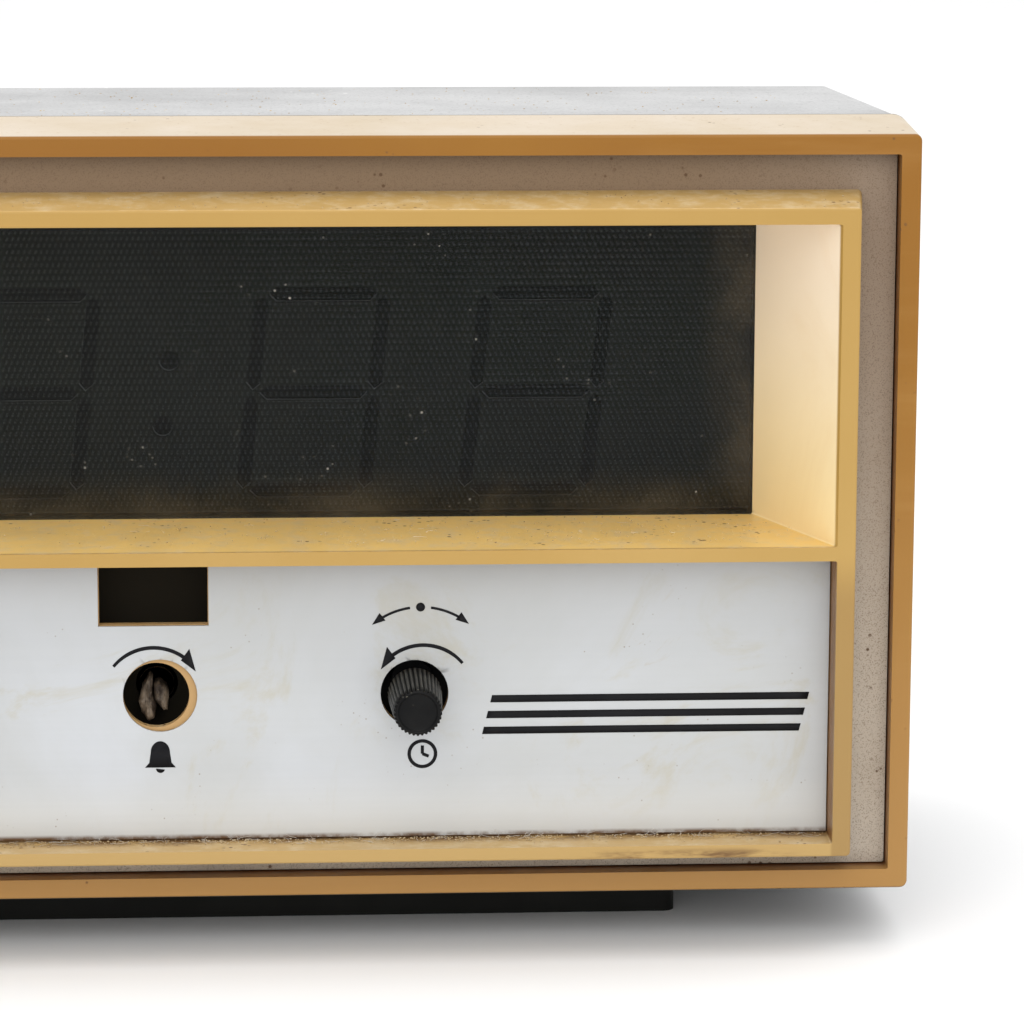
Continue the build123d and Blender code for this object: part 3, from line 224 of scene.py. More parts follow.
def amber_plastic():
    """The outer bezel: cream plastic gone amber in front and faded pale on top."""
    paint = Paint("amber_plastic", roughness=0.42, specular=0.36)
    _, depth, height = paint.axes()
    mottle = paint.fade(paint.noise(9.0, 5.0), 0.3, 0.7)
    front = paint.mix(mottle, linear(136, 88, 8), linear(149, 103, 22))
    low = paint.fade(height, bezel_high.z - 30 * MM, bezel_low.z)
    front = paint.mix(paint.times(low, 0.9), front, linear(163, 122, 66))
    streak = paint.noise(60.0, 4.0, place=paint.stretch(0.2, 1.0, 2.0))
    front = paint.mix(paint.fade(streak, 0.5, 0.75, 0.0, 0.3), front, linear(176, 134, 74))
    # painted shade with mottled grime: the recessed surfaces behind the front face are darkened to brown
    ledge = paint.times(
        paint.fade(depth, FRONT + 1.4 * MM, FRONT + 3.6 * MM),
        paint.fade(height, bezel_high.z - 3 * MM, bezel_high.z - 4 * MM),
    )
    soiled = paint.mix(paint.noise(50.0, 5.0), linear(90, 50, 14), linear(118, 74, 30))
    front = paint.mix(ledge, front, soiled)
    # painted shade: surfaces facing down are darkened
    under = paint.fade(paint.facing()[2], -0.5, -0.9)
    front = paint.mix(under, front, linear(60, 52, 42))
    top = paint.times(
        paint.fade(depth, FRONT + 0.15 * MM, FRONT + 0.75 * MM),
        paint.fade(height, bezel_high.z - 4 * MM, bezel_high.z - 3 * MM),
    )
    faded = paint.mix(paint.fade(paint.noise(22.0), 0.35, 0.7), linear(204, 189, 168), linear(194, 177, 150))
    grit = paint.fade(paint.noise(900.0, 3.0), 0.6, 0.72, 0.0, 0.35)
    faded = paint.mix(grit, faded, linear(168, 138, 100))
    colour = paint.mix(top, front, faded)
    # painted shadow in the gap where the back of the bezel meets the case
    gap_shade = paint.fade(depth, bezel_high.y - 0.5 * MM, bezel_high.y - 0.2 * MM)
    colour = paint.mix(gap_shade, colour, linear(52, 40, 28))
    # grime and painted shade: patchy dark brown wherever the surface is occluded
    patchy = paint.fade(paint.noise(160.0), 0.3, 0.6, 0.6, 1.0)
    grime_and_shade = paint.times(paint.crevice(0.0022), patchy)
    colour = paint.mix(paint.fade(grime_and_shade, 0.4, 0.95, 0.0, 0.7), colour, linear(64, 36, 12))
    colour = paint.mix(specks(paint, 520.0, 0.10, 0.2), colour, linear(96, 62, 30))
    paint.wire(colour, "Base Color")
    paint.wire(paint.fade(paint.noise(120.0), 0.3, 0.75, 0.36, 0.52), "Roughness")
    paint.bump(paint.noise(900.0, 2.0), 0.00004, 0.5)
    paint.bump(paint.noise(14.0, 3.0), 0.0004, 0.25)
    return paint.material


def inner_cream():
    """The inner bezel: yellow cream bars, pale splayed window sides and sill with painted light on them,
    soiled where the panel sits.
    """
    paint = Paint("inner_cream", roughness=0.4, specular=0.4)
    across, depth, height = paint.axes()
    inside = paint.fade(paint.calculate("ABSOLUTE", across), OPENING_X + 1.6 * MM, OPENING_X + 0.6 * MM)
    mottle = paint.fade(paint.noise(11.0, 5.0), 0.3, 0.7)
    body = paint.mix(mottle, linear(170, 134, 66), linear(178, 144, 80))
    low = paint.fade(height, CROSSBAR_LOW, inner_low.z + 4 * MM)
    body = paint.mix(low, body, linear(177, 145, 88))
    post = paint.times(
        paint.fade(paint.calculate("ABSOLUTE", across), OPENING_X - 0.3 * MM, OPENING_X + 0.3 * MM),
        paint.fade(height, CROSSBAR_TOP, CROSSBAR_LOW - 8 * MM, 0.0, 0.6),
    )
    body = paint.mix(post, body, linear(140, 108, 58))
    behind = paint.fade(depth, INNER_FRONT + 0.5 * MM, INNER_FRONT + 1.2 * MM)
    in_window = paint.times(
        paint.fade(height, CROSSBAR_TOP - 0.3 * MM, CROSSBAR_TOP),
        paint.fade(height, inner_high.z - 3.5 * MM, inner_high.z - 4.5 * MM),
    )
    # painted light: the splayed window sides are painted pale as if lit from the left, whiter towards the
    # top
    tall = paint.fade(height, lens_low.z, lens_high.z)
    pale = paint.mix(tall, linear(249, 225, 170), linear(247, 231, 208))
    worn = paint.fade(paint.noise(26.0, 6.0, 0.7, distortion=0.7), 0.45, 0.8, 0.0, 0.3)
    pale = paint.mix(worn, pale, linear(222, 184, 122))
    hollow = paint.times(behind, inside)
    # painted light: the sill lies in shade under the window's top lip and is painted brighter to make up for
    # it
    sill = paint.fade(paint.facing()[2], 0.6, 0.9)
    pale = paint.mix(sill, pale, linear(250, 211, 120))
    body = paint.mix(paint.times(in_window, hollow), body, pale)
    in_control = paint.fade(height, CROSSBAR_LOW + 0.3 * MM, CROSSBAR_LOW - 0.3 * MM)
    # darker brown on the side walls of the control opening
    inward = paint.calculate("ABSOLUTE", paint.facing()[0])
    wall = paint.times(paint.fade(inward, 0.6, 0.9), in_control, hollow)
    wall_brown = paint.mix(paint.noise(140.0, 5.0), linear(84, 48, 16), linear(150, 102, 50))
    body = paint.mix(paint.times(wall, 0.85), body, wall_brown)
    backing = paint.times(in_control, paint.fade(depth, FASCIA + 0.2 * MM, FASCIA + 0.4 * MM))
    body = paint.mix(paint.times(backing, hollow), body, linear(178, 142, 92))
    up = paint.fade(paint.facing()[2], 0.5, 0.95)
    body = paint.mix(paint.times(up, 0.4), body, linear(214, 180, 122))
    dusty = paint.times(up, paint.fade(paint.noise(240.0, 6.0, 0.7), 0.42, 0.72, 0.0, 0.6))
    body = paint.mix(dusty, body, linear(214, 194, 156))
    speck = paint.times(up, specks(paint, 700.0, 0.16, 0.3))
    body = paint.mix(speck, body, linear(112, 78, 44))
    # grime and painted shade: patchy dark brown wherever the surface is occluded
    patchy = paint.fade(paint.noise(140.0, 5.0), 0.32, 0.62, 0.4, 1.0)
    grime_and_shade = paint.times(paint.crevice(0.0018), patchy)
    body = paint.mix(paint.fade(grime_and_shade, 0.35, 0.9, 0.0, 0.8), body, linear(98, 60, 26))
    groove = paint.times(
        paint.fade(depth, FASCIA - 4.6 * MM, FASCIA - 0.5 * MM),
        paint.fade(height, panel_low.z + 1.0 * MM, panel_low.z + 0.4 * MM),
    )
    caked = paint.fade(paint.noise(170.0, 6.0, 0.75, place=paint.stretch(0.5, 1.0, 1.0)), 0.36, 0.62)
    body = paint.mix(paint.times(groove, caked, 0.9), body, linear(96, 62, 30))
    smear = paint.times(
        paint.fade(across, 68 * MM, 78 * MM),
        paint.fade(across, 108 * MM, 96 * MM),
        paint.fade(height, inner_low.z + 3.6 * MM, inner_low.z + 2.2 * MM),
    )
    ragged = paint.fade(paint.noise(110.0, 5.0, 0.7, place=paint.stretch(0.4, 1.0, 2.0)), 0.42, 0.6)
    body = paint.mix(paint.times(smear, ragged, 0.95), body, linear(100, 68, 34))
    paint.wire(body, "Base Color")
    paint.wire(paint.fade(paint.noise(90.0), 0.3, 0.7, 0.34, 0.5), "Roughness")
    paint.bump(paint.noise(1000.0, 2.0), 0.00003, 0.5)
    paint.bump(paint.noise(25.0, 3.0), 0.0003, 0.2)
    return paint.material


def grey_panel():
    """The recessed panel: warm grey with a fine sandy speckle, browner at the top and darker there as
    painted shade under the bezel's top bar.
    """
    paint = Paint("grey_panel", roughness=0.55, specular=0.4)
    across, _, height = paint.axes()
    # painted shade: darker towards the top, under the bezel's top bar, and browner there
    tall = paint.fade(height, recess_low.z, recess_high.z)
    side = paint.fade(across, recess_high.x - 40 * MM, recess_high.x)
    base = paint.mix(tall, linear(202, 192, 176), linear(130, 108, 84))
    base = paint.mix(paint.times(side, 0.2), base, linear(176, 164, 154))
    grain = paint.noise(5200.0, 2.0, 0.6)
    base = paint.mix(paint.fade(grain, 0.5, 0.7, 0.0, 0.6), base, linear(98, 76, 54))
    cloud = paint.noise(26.0, 5.0)
    base = paint.mix(paint.fade(cloud, 0.45, 0.75, 0.0, 0.3), base, linear(128, 106, 80))
    base = paint.mix(specks(paint, 620.0, 0.12, 0.24), base, linear(92, 66, 40))
    # grime and painted shade: dark brown wherever the surface is occluded
    grime_and_shade = paint.crevice(0.003)
    base = paint.mix(paint.fade(grime_and_shade, 0.55, 0.98, 0.0, 0.8), base, linear(66, 44, 24))
    paint.wire(base, "Base Color")
    paint.bump(grain, 0.00005, 0.5)
    return paint.material


def fascia_metal():
    """The control panel: satin aluminium foil, clouded and a little yellowed in patches."""
    paint = Paint("fascia_metal", roughness=0.46, specular=0.4, metallic=0.15)
    cloud = paint.noise(15.0, 6.0, 0.62, distortion=0.6)
    base = paint.mix(paint.fade(cloud, 0.35, 0.68), linear(193, 196, 200), linear(185, 187, 187))
    stain = paint.noise(30.0, 6.0, 0.7, distortion=1.4)
    base = paint.mix(paint.fade(stain, 0.54, 0.7, 0.0, 0.5), base, linear(176, 168, 142))
    rust = paint.noise(90.0, 6.0, 0.75, distortion=1.0)
    base = paint.mix(paint.fade(rust, 0.66, 0.76, 0.0, 0.4), base, linear(170, 146, 104))
    shade = paint.fade(paint.axes()[2], panel_high.z - 28 * MM, panel_high.z, 0.0, 0.55)
    base = paint.mix(shade, base, linear(162, 163, 162))
    foot = paint.fade(paint.axes()[2], panel_low.z + 12 * MM, panel_low.z + 2 * MM, 0.0, 0.5)
    base = paint.mix(foot, base, linear(208, 208, 204))
    brushed = paint.noise(420.0, 2.0, place=paint.stretch(0.04, 1.0, 3.0))
    base = paint.mix(paint.fade(brushed, 0.35, 0.65, 0.0, 0.04), base, linear(160, 164, 170))
    spots = paint.times(specks(paint, 760.0, 0.06, 0.14), 0.6)
    base = paint.mix(spots, base, linear(120, 98, 70))
    rim = paint.fade(paint.axes()[2], panel_low.z + 0.9 * MM, panel_low.z + 0.1 * MM)
    caked = paint.fade(paint.noise(130.0, 6.0, 0.7), 0.3, 0.6)
    base = paint.mix(paint.times(rim, caked), base, linear(96, 66, 36))
    # grime and painted shade: dark brown wherever the foil is occluded, such as along the crossbar at its
    # top
    grime_and_shade = paint.crevice(0.0022)
    base = paint.mix(paint.fade(grime_and_shade, 0.35, 0.9, 0.0, 0.75), base, linear(88, 64, 38))
    paint.wire(base, "Base Color")
    paint.wire(paint.fade(cloud, 0.3, 0.7, 0.38, 0.54), "Roughness")
    paint.bump(brushed, 0.00001, 0.2)
    paint.bump(paint.noise(48.0, 3.0), 0.0004, 0.22)
    return paint.material


DOT_ACROSS = 0.95 * MM
DOT_UP = 1.1 * MM
DOT_FLATNESS = 1.6
WHOLE_DOTS_ASIDE = 1000.0  # keeps the column count positive left of the middle


def dot_screen(paint):
    """A staggered screen of small dots, 1 in a dot."""
    x, _, z = paint.axes()
    row = paint.calculate("DIVIDE", z, DOT_UP)
    odd = paint.calculate("MODULO", paint.calculate("FLOOR", row), 2.0)
    column = paint.calculate("MULTIPLY_ADD", odd, 0.5, paint.calculate("DIVIDE", x, DOT_ACROSS))
    shifted = paint.calculate("ADD", column, WHOLE_DOTS_ASIDE)
    across = paint.calculate("SUBTRACT", paint.calculate("FRACT", shifted), 0.5)
    up = paint.times(paint.calculate("SUBTRACT", paint.calculate("FRACT", row), 0.5), DOT_FLATNESS)
    squares = paint.calculate("ADD", paint.times(across, across), paint.times(up, up))
    reach = paint.calculate("SQRT", squares)
    return paint.fade(reach, 0.12, 0.30, 1.0, 0.0)


def smoked_lens():
    """The window: smoked acrylic with a dot screen and a painted bluish reflection, dusty in its corners."""
    paint = Paint("smoked_lens", roughness=0.2, specular=0.2, ior=1.45)
    dots = dot_screen(paint)
    # painted reflection: upright bluish streaks over the dark screen
    haze = paint.noise(9.0, 3.0, place=paint.stretch(1.6, 1.0, 0.5))
    screen = paint.mix(paint.fade(haze, 0.4, 0.62), linear(44, 48, 42), linear(47, 55, 61))
    base = paint.mix(dots, linear(16, 17, 16), screen)
    x, _, z = paint.axes()
    edge = paint.fade(x, lens_high.x - 12 * MM, lens_high.x - 2 * MM)
    foot = paint.fade(z, lens_low.z + 11 * MM, lens_low.z + 1.5 * MM)
    film = paint.noise(60.0, 7.0, 0.7, distortion=0.8)
    dusty = paint.times(paint.most(edge, foot), paint.fade(film, 0.25, 0.8))
    base = paint.mix(paint.times(dusty, 0.5), base, linear(116, 104, 82))
    lint = specks(paint, 620.0, 0.08, 0.16)
    base = paint.mix(paint.times(lint, 0.8), base, linear(190, 186, 174))
    paint.wire(base, "Base Color")
    cover = paint.calculate("ADD", 0.5, paint.times(dots, 0.26))
    paint.wire(paint.most(cover, paint.times(dusty, 0.7), lint), "Alpha")
    paint.wire(paint.fade(film, 0.35, 0.75, 0.14, 0.3), "Roughness")
    return paint.material


def mask_black():
    """The segment mask and other dark parts: a dull dark face, with painted shade in black inside the
    openings and on every wall that does not face the front.
    """
    paint = Paint("mask_black", roughness=0.9, specular=0.0)
    depth = paint.axes()[1]
    face = paint.mix(paint.fade(paint.noise(35.0, 5.0), 0.3, 0.7), linear(66, 70, 61), linear(74, 78, 69))
    # painted shade: near-black behind the front of the face, inside the openings
    inside = paint.mix(paint.noise(200.0), linear(15, 16, 14), linear(22, 23, 20))
    deep_shade = paint.fade(depth, mask_face + 0.05 * MM, mask_face + 0.2 * MM)
    low = paint.fade(paint.axes()[2], CROSSBAR_TOP, CROSSBAR_LOW)
    face = paint.mix(low, face, linear(40, 37, 31))
    face = paint.mix(deep_shade, face, inside)
    # painted shade: near-black on every surface that does not face the front
    wall_shade = paint.fade(paint.facing()[1], -0.9, -0.6)
    paint.wire(paint.mix(wall_shade, face, linear(7, 7, 6)), "Base Color")
    paint.bump(paint.noise(800.0, 2.0), 0.00004, 0.4)
    return paint.material


def case_plastic():
    """The case: dark grey moulded plastic, dusty and lightened with painted sheen where it faces up."""
    paint = Paint("case_plastic", roughness=0.5, specular=0.45)
    base = paint.mix(paint.fade(paint.noise(40.0, 5.0), 0.3, 0.7), linear(52, 53, 55), linear(66, 67, 69))
    # dust and painted sheen: surfaces facing up are lightened to a pale grey
    up = paint.fade(paint.facing()[2], 0.3, 0.9)
    film = paint.fade(paint.noise(18.0, 6.0, 0.65), 0.3, 0.7, 0.62, 0.92)
    base = paint.mix(paint.times(up, film), base, linear(196, 196, 196))
    grains = paint.fade(paint.noise(1500.0, 2.0), 0.56, 0.66)
    base = paint.mix(paint.times(grains, 0.35), base, linear(96, 96, 98))
    pale = specks(paint, 300.0, 0.08, 0.16)
    base = paint.mix(paint.times(pale, up), base, linear(236, 236, 232))
    paint.wire(base, "Base Color")
    paint.bump(paint.noise(1300.0, 3.0), 0.00006, 0.5)
    return paint.material


def plain_plastic(name, dark, light, roughness=0.5, specular=0.4):
    """Moulded plastic with soft mottling and a fine surface grain."""
    paint = Paint(name, roughness=roughness, specular=specular)
    base = paint.mix(paint.fade(paint.noise(35.0, 5.0), 0.3, 0.7), dark, light)
    base = paint.mix(specks(paint, 380.0, 0.07, 0.13), base, linear(120, 116, 106))
    paint.wire(base, "Base Color")
    paint.wire(paint.fade(paint.noise(110.0), 0.3, 0.7, roughness - 0.06, roughness + 0.1), "Roughness")
    paint.bump(paint.noise(700.0, 2.0), 0.00004, 0.5)
    return paint.material


def black_knob():
    """The setting knobs: black plastic greyed by handling, with dust in the ribs."""
    paint = Paint("black_knob", roughness=0.42, specular=0.12)
    base = paint.mix(paint.fade(paint.noise(300.0, 4.0), 0.3, 0.7), linear(9, 9, 10), linear(17, 17, 17))
    depth = paint.axes()[1]
    handled = paint.fade(depth, knob_low.y + 0.7 * MM, knob_low.y + 2 * MM)
    crest = paint.nodes.new("ShaderNodeAttribute")
    crest.attribute_name = "crest"
    patch = paint.fade(paint.noise(420.0, 4.0, 0.7), 0.35, 0.65, 0.25, 0.9)
    dust = paint.times(handled, patch, crest.outputs["Fac"])
    base = paint.mix(dust, base, linear(74, 72, 66))
    worn = specks(paint, 900.0, 0.12, 0.2)
    base = paint.mix(paint.times(worn, 0.5), base, linear(128, 124, 112))
    paint.wire(base, "Base Color")
    paint.bump(paint.noise(1500.0, 2.0), 0.00003, 0.4)
    return paint.material


def shaft_plastic():
    """The broken alarm shaft: grey-brown plastic with pale fractured faces."""
    paint = Paint("shaft_plastic", roughness=0.6, specular=0.35)
    grain = paint.noise(700.0, 5.0, 0.7, place=paint.stretch(1.0, 0.25, 0.4))
    base = paint.mix(paint.fade(grain, 0.35, 0.65), linear(44, 34, 26), linear(118, 104, 88))
    # painted shade: dark brown wherever the split shaft is occluded
    base = paint.mix(paint.fade(paint.crevice(0.002), 0.2, 0.8, 0.0, 0.8), base, linear(38, 28, 20))
    paint.wire(base, "Base Color")
    paint.bump(grain, 0.0002, 0.7)
    return paint.material


def metal(name, colour, worn, roughness, streak):
    """Plated or ground metal with fine drawn lines and dull patches."""
    paint = Paint(name, roughness=roughness, metallic=1.0)
    lines = paint.noise(500.0, 3.0, place=paint.stretch(*streak))
    base = paint.mix(paint.fade(lines, 0.3, 0.7), colour, worn)
    dull = paint.noise(60.0, 5.0)
    base = paint.mix(paint.fade(dull, 0.55, 0.75, 0.0, 0.5), base, worn)
    paint.wire(base, "Base Color")
    paint.wire(paint.fade(dull, 0.3, 0.7, roughness - 0.08, roughness + 0.12), "Roughness")
    paint.bump(lines, 0.00002, 0.4)
    return paint.material


def lamp_glass():
    """Neon lamp tubes: clear glass, faintly smoked with age."""
    paint = Paint("lamp_glass", roughness=0.06, specular=0.5, ior=1.5)
    paint.set("Transmission Weight", 0.9)
    haze = paint.noise(60.0, 4.0)
    base = paint.mix(paint.fade(haze, 0.4, 0.7), linear(240, 236, 230), linear(206, 196, 182))
    paint.wire(base, "Base Color")
    return paint.material


WIRE_TURN = 0.35 * MM


def coil_winding():
    """Enamelled copper wire wound in fine turns."""
    paint = Paint("coil_winding", roughness=0.3, metallic=0.6)
    turns = paint.calculate("SINE", paint.times(paint.axes()[2], 2 * math.pi / WIRE_TURN))
    base = paint.mix(paint.fade(turns, -1.0, 1.0), linear(96, 40, 18), linear(190, 104, 58))
    paint.wire(base, "Base Color")
    paint.bump(turns, 0.0001, 0.6)
    return paint.material


SLOTS = {
    "amber_plastic": amber_plastic(),
    "inner_cream": inner_cream(),
    "grey_panel": grey_panel(),
    "fascia_metal": fascia_metal(),
    "smoked_lens": smoked_lens(),
    "case_plastic": case_plastic(),
    "plinth_plastic": plain_plastic(
        "plinth_plastic", linear(11, 11, 7), linear(16, 17, 12), 0.5, specular=0.2,
    ),
    "black_knob": black_knob(),
    "shaft_plastic": shaft_plastic(),
    "mask_black": mask_black(),
    "diffuser_film": plain_plastic(
        "diffuser_film", linear(18, 18, 15), linear(24, 24, 20), 0.8, specular=0.02,
    ),
    "vane_plastic": plain_plastic(
        "vane_plastic", linear(14, 15, 13), linear(22, 23, 20), 0.7, specular=0.1,
    ),
    "zinc_steel": metal("zinc_steel", linear(196, 196, 190), linear(150, 148, 138), 0.36, (1.0, 0.2, 0.2)),
    "black_steel": plain_plastic("black_steel", linear(14, 14, 13), linear(24, 23, 21), 0.6),
    "bright_steel": metal(
        "bright_steel", linear(206, 206, 206), linear(160, 160, 162), 0.25, (0.2, 1.0, 1.0),
    ),
    "brass": metal("brass", linear(206, 168, 92), linear(150, 116, 60), 0.3, (1.0, 1.0, 1.0)),
    "gear_plastic": plain_plastic("gear_plastic", linear(226, 220, 204), linear(238, 234, 222), 0.42),
    "lamp_glass": lamp_glass(),
    "coil_winding": coil_winding(),
    "gland_rubber": plain_plastic("gland_rubber", linear(22, 22, 22), linear(34, 34, 34), 0.7),
}

SLOT_OF = {entry["node"]: entry["material_slot"] for entry in frame["record"]["subparts"]}
for node, obj in frame["nodes"].items():
    obj.data.materials.clear()
    obj.data.materials.append(SLOTS[SLOT_OF[node]])


# ---------------------------------------------------------------- mesh helpers


def piece(name, bm, slot, body, smooth_angle=40.0):
    """A finished mesh as an object with its material, riding on its body."""
    mesh = bpy.data.meshes.new(name)
    bmesh.ops.recalc_face_normals(bm, faces=bm.faces)
    bm.to_mesh(mesh)
    bm.free()
    for polygon in mesh.polygons:
        polygon.use_smooth = True
    mesh.set_sharp_from_angle(angle=math.radians(smooth_angle))
    obj = bpy.data.objects.new(name, mesh)
    bpy.context.scene.collection.objects.link(obj)
    mesh.materials.append(SLOTS[slot])
    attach(obj, body)
    return obj


def skin(bm, rings):
    """Faces between rings that have the same number of points."""
    for first, second in zip(rings, rings[1:]):
        for index in range(len(first)):
            after = (index + 1) % len(first)
            bm.faces.new((first[index], first[after], second[after], second[index]))


def grid_cuts(bm, step):
    """Slices a mesh along x and z so that it can be bent."""
    low = Vector((min(v.co.x for v in bm.verts), 0, min(v.co.z for v in bm.verts)))
    high = Vector((max(v.co.x for v in bm.verts), 0, max(v.co.z for v in bm.verts)))
    for axis, normal in ((0, (1, 0, 0)), (2, (0, 0, 1))):
        place = low[axis] + step
        while place < high[axis]:
            point = Vector((0, 0, 0))
            point[axis] = place
            geometry = bm.verts[:] + bm.edges[:] + bm.faces[:]
            bmesh.ops.bisect_plane(bm, geom=geometry, plane_co=point, plane_no=normal)
            place += step


FOIL_GAP = 0.12
CALM = 8 * MM  # the foil has no waves within this of a control's axis, and full waves past twice this
RIGHT_CURL_WIDTH = 10 * MM
LOW_CURL_HEIGHT = 6 * MM


def foil_lift(x, z):
    """How far the foil of the control panel stands off its backing, in metres."""
    wave = noise.noise(Vector((x * 22.0, 3.0, z * 40.0))) * 0.10
    wave += noise.noise(Vector((x * 60.0, 8.0, z * 80.0))) * 0.04
    for control in (TIME_X, SWITCH_X, ALARM_X):
        away = math.hypot(x - control, z - CONTROL_Z) - CALM
        wave *= min(1.0, max(0.0, away / CALM))
    right = max(0.0, 1 - (panel_high.x - x) / RIGHT_CURL_WIDTH)
    low = max(0.0, 1 - (z - panel_low.z) / LOW_CURL_HEIGHT)
    edge = 0.16 * right**2 + 0.14 * low**2 * (0.5 + 0.5 * math.sin(x * 70.0))
    return (FOIL_GAP + wave + edge) * MM


def bend_foil(bm):
    for vertex in bm.verts:
        vertex.co.y -= foil_lift(vertex.co.x, vertex.co.z)


# ---------------------------------------------------------------- control panel foil and its printing


def make_fascia():
    bm = bmesh.new()
    bm.from_mesh(frame["nodes"]["control_panel"].data)
    bmesh.ops.remove_doubles(bm, verts=bm.verts, dist=0.00001)
    grid_cuts(bm, 2 * MM)
    many_sided = [face for face in bm.faces if len(face.verts) > 4]
    bmesh.ops.triangulate(bm, faces=many_sided, ngon_method="BEAUTY")
    bend_foil(bm)
    sheet = piece("fascia_foil", bm, "fascia_metal", "clock", 30.0)
    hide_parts("control_panel")


INK = plain_plastic("black_ink", linear(16, 16, 18), linear(26, 26, 29), 0.6, specular=0.12)
INK_LIFT = 0.03 * MM
INK_THICK = 0.02 * MM


def ink_strip(bm, centreline, widths):
    """A printed line of varying width along a list of points."""
    rows = []
    count = len(centreline)
    for index, (x, z) in enumerate(centreline):
        ahead = centreline[min(index + 1, count - 1)]
        behind = centreline[max(index - 1, 0)]
        along = Vector((ahead[0] - behind[0], ahead[1] - behind[1])).normalized()
        across = Vector((-along.y, along.x)) * widths[index] / 2
        rows.append([(x + across.x, z + across.y), (x - across.x, z - across.y)])
    front = FASCIA - INK_LIFT - INK_THICK
    verts = [[bm.verts.new((x, front, z)) for x, z in row] for row in rows]
    for first, second in zip(verts, verts[1:]):
        bm.faces.new((first[0], first[1], second[1], second[0]))


def ink_shape(bm, outline):
    front = FASCIA - INK_LIFT - INK_THICK
    bm.faces.new([bm.verts.new((x, front, z)) for x, z in outline])


def arc_points(x, z, radius, start, end, steps):
    points = []
    for step in range(steps + 1):
        angle = math.radians(start + (end - start) * step / steps)
        points.append((x + radius * math.cos(angle), z + radius * math.sin(angle)))
    return points


ARC_R = 8.45 * MM
ARC_STROKE = 0.62 * MM
HEAD_LENGTH = 2.2 * MM
HEAD_HALF = 0.8 * MM
ARC_TAIL = 51.0  # degrees from the top of the arc
ARC_NECK = 36.0
ARC_TIP = 58.0


def arrow_head(bm, x, z, heading):
    """A slim triangle with its tip at a place, pointing along a heading in degrees."""
    along = Vector((math.cos(math.radians(heading)), math.sin(math.radians(heading))))
    across = Vector((-along.y, along.x))
    back = Vector((x, z)) - along * HEAD_LENGTH
    ink_shape(bm, [(x, z), tuple(back + across * HEAD_HALF), tuple(back - across * HEAD_HALF)])


def arc_arrow(bm, x, clockwise):
    """A curved arrow over a knob, with a head that reaches further outside the curve."""
    side = 1 if clockwise else -1
    tail, base, tip = (side * angle for angle in (ARC_TAIL, -ARC_NECK, -ARC_TIP))
    z = CONTROL_Z - 0.3 * MM
    points = arc_points(x, z, ARC_R, 90 + tail, 90 + base, 36)
    ink_strip(bm, points, [ARC_STROKE * (0.8 + 0.2 * min(1.0, index / 10)) for index in range(len(points))])
    head = [arc_points(x, z, radius, 90 + angle, 90 + angle, 1)[0] for radius, angle in (
        (ARC_R - 0.2 * MM, tip), (ARC_R - 0.7 * MM, base), (ARC_R + 1.7 * MM, base),
    )]
    ink_shape(bm, head)


def bell_mark(bm, x, z, size):
    """A plain bell for the alarm control."""
    outline = []
    for step in range(17):
        angle = math.pi * step / 16
        outline.append((x + 0.36 * size * math.cos(angle), z + 0.30 * size + 0.42 * size * math.sin(angle)))
    outline += [(x - 0.42 * size, z - 0.12 * size), (x - 0.58 * size, z - 0.30 * size)]
    outline += [(x + 0.58 * size, z - 0.30 * size), (x + 0.42 * size, z - 0.12 * size)]
    ink_shape(bm, outline)
    ink_shape(bm, arc_points(x, z - 0.34 * size, 0.17 * size, 180, 345, 10))


def clock_mark(bm, x, z, size):
    """A plain clock face for the time control."""
    ring = arc_points(x, z + 0.12 * size, 0.5 * size, 0, 359.9, 40)
    ink_strip(bm, ring, [0.13 * size] * len(ring))
    ink_strip(bm, [(x, z + 0.12 * size), (x, z + 0.44 * size)], [0.12 * size] * 2)
    ink_strip(bm, [(x, z + 0.12 * size), (x + 0.24 * size, z + 0.02 * size)], [0.12 * size] * 2)


TRAVEL_R = 12.5 * MM
TRAVEL_DOT_R = 0.75 * MM
TRAVEL_STROKE = 0.42 * MM
TRAVEL_HEADING = 128.0  # degrees that each head turns away from straight up


def travel_mark(bm, x):
    """Arrows away from a dot, on an arc over the time knob, for its in and out travel."""
    z = CONTROL_Z + 2.1 * MM
    ink_shape(bm, arc_points(x, z + TRAVEL_R, TRAVEL_DOT_R, 0, 345, 23))
    for side in (-1, 1):
        stroke = arc_points(x, z, TRAVEL_R, 90 - side * 8.0, 90 - side * 32.0, 12)
        ink_strip(bm, stroke, [TRAVEL_STROKE] * len(stroke))
        end = arc_points(x, z, TRAVEL_R, 90 - side * 40.0, 90 - side * 40.0, 1)[0]
        arrow_head(bm, *end, 90 - side * TRAVEL_HEADING)


STRIPE_LEFT = 53.8 * MM
STRIPE_RIGHT = 108.2 * MM
STRIPE_LOW = 38.3 * MM
STRIPE_STEP = 2.7 * MM
STRIPE_HALF = 0.62 * MM
STRIPE_LEAN = 0.25
STRIPES = 3


def stripe_motif(bm):
    """Three long stripes with slanted ends, a plain decoration."""
    slant = STRIPE_HALF * STRIPE_LEAN
    for index in range(STRIPES):
        z = STRIPE_LOW + index * STRIPE_STEP
        left = STRIPE_LEFT + index * STRIPE_STEP * STRIPE_LEAN
        right = STRIPE_RIGHT - (STRIPES - 1 - index) * STRIPE_STEP * STRIPE_LEAN
        outline = [(left - slant, z - STRIPE_HALF), (right - slant, z - STRIPE_HALF)]
        outline += [(right + slant, z + STRIPE_HALF), (left + slant, z + STRIPE_HALF)]
        ink_shape(bm, outline)


MARK_Z = CONTROL_Z - 10.9 * MM
MARK_SIZE = 4.4 * MM


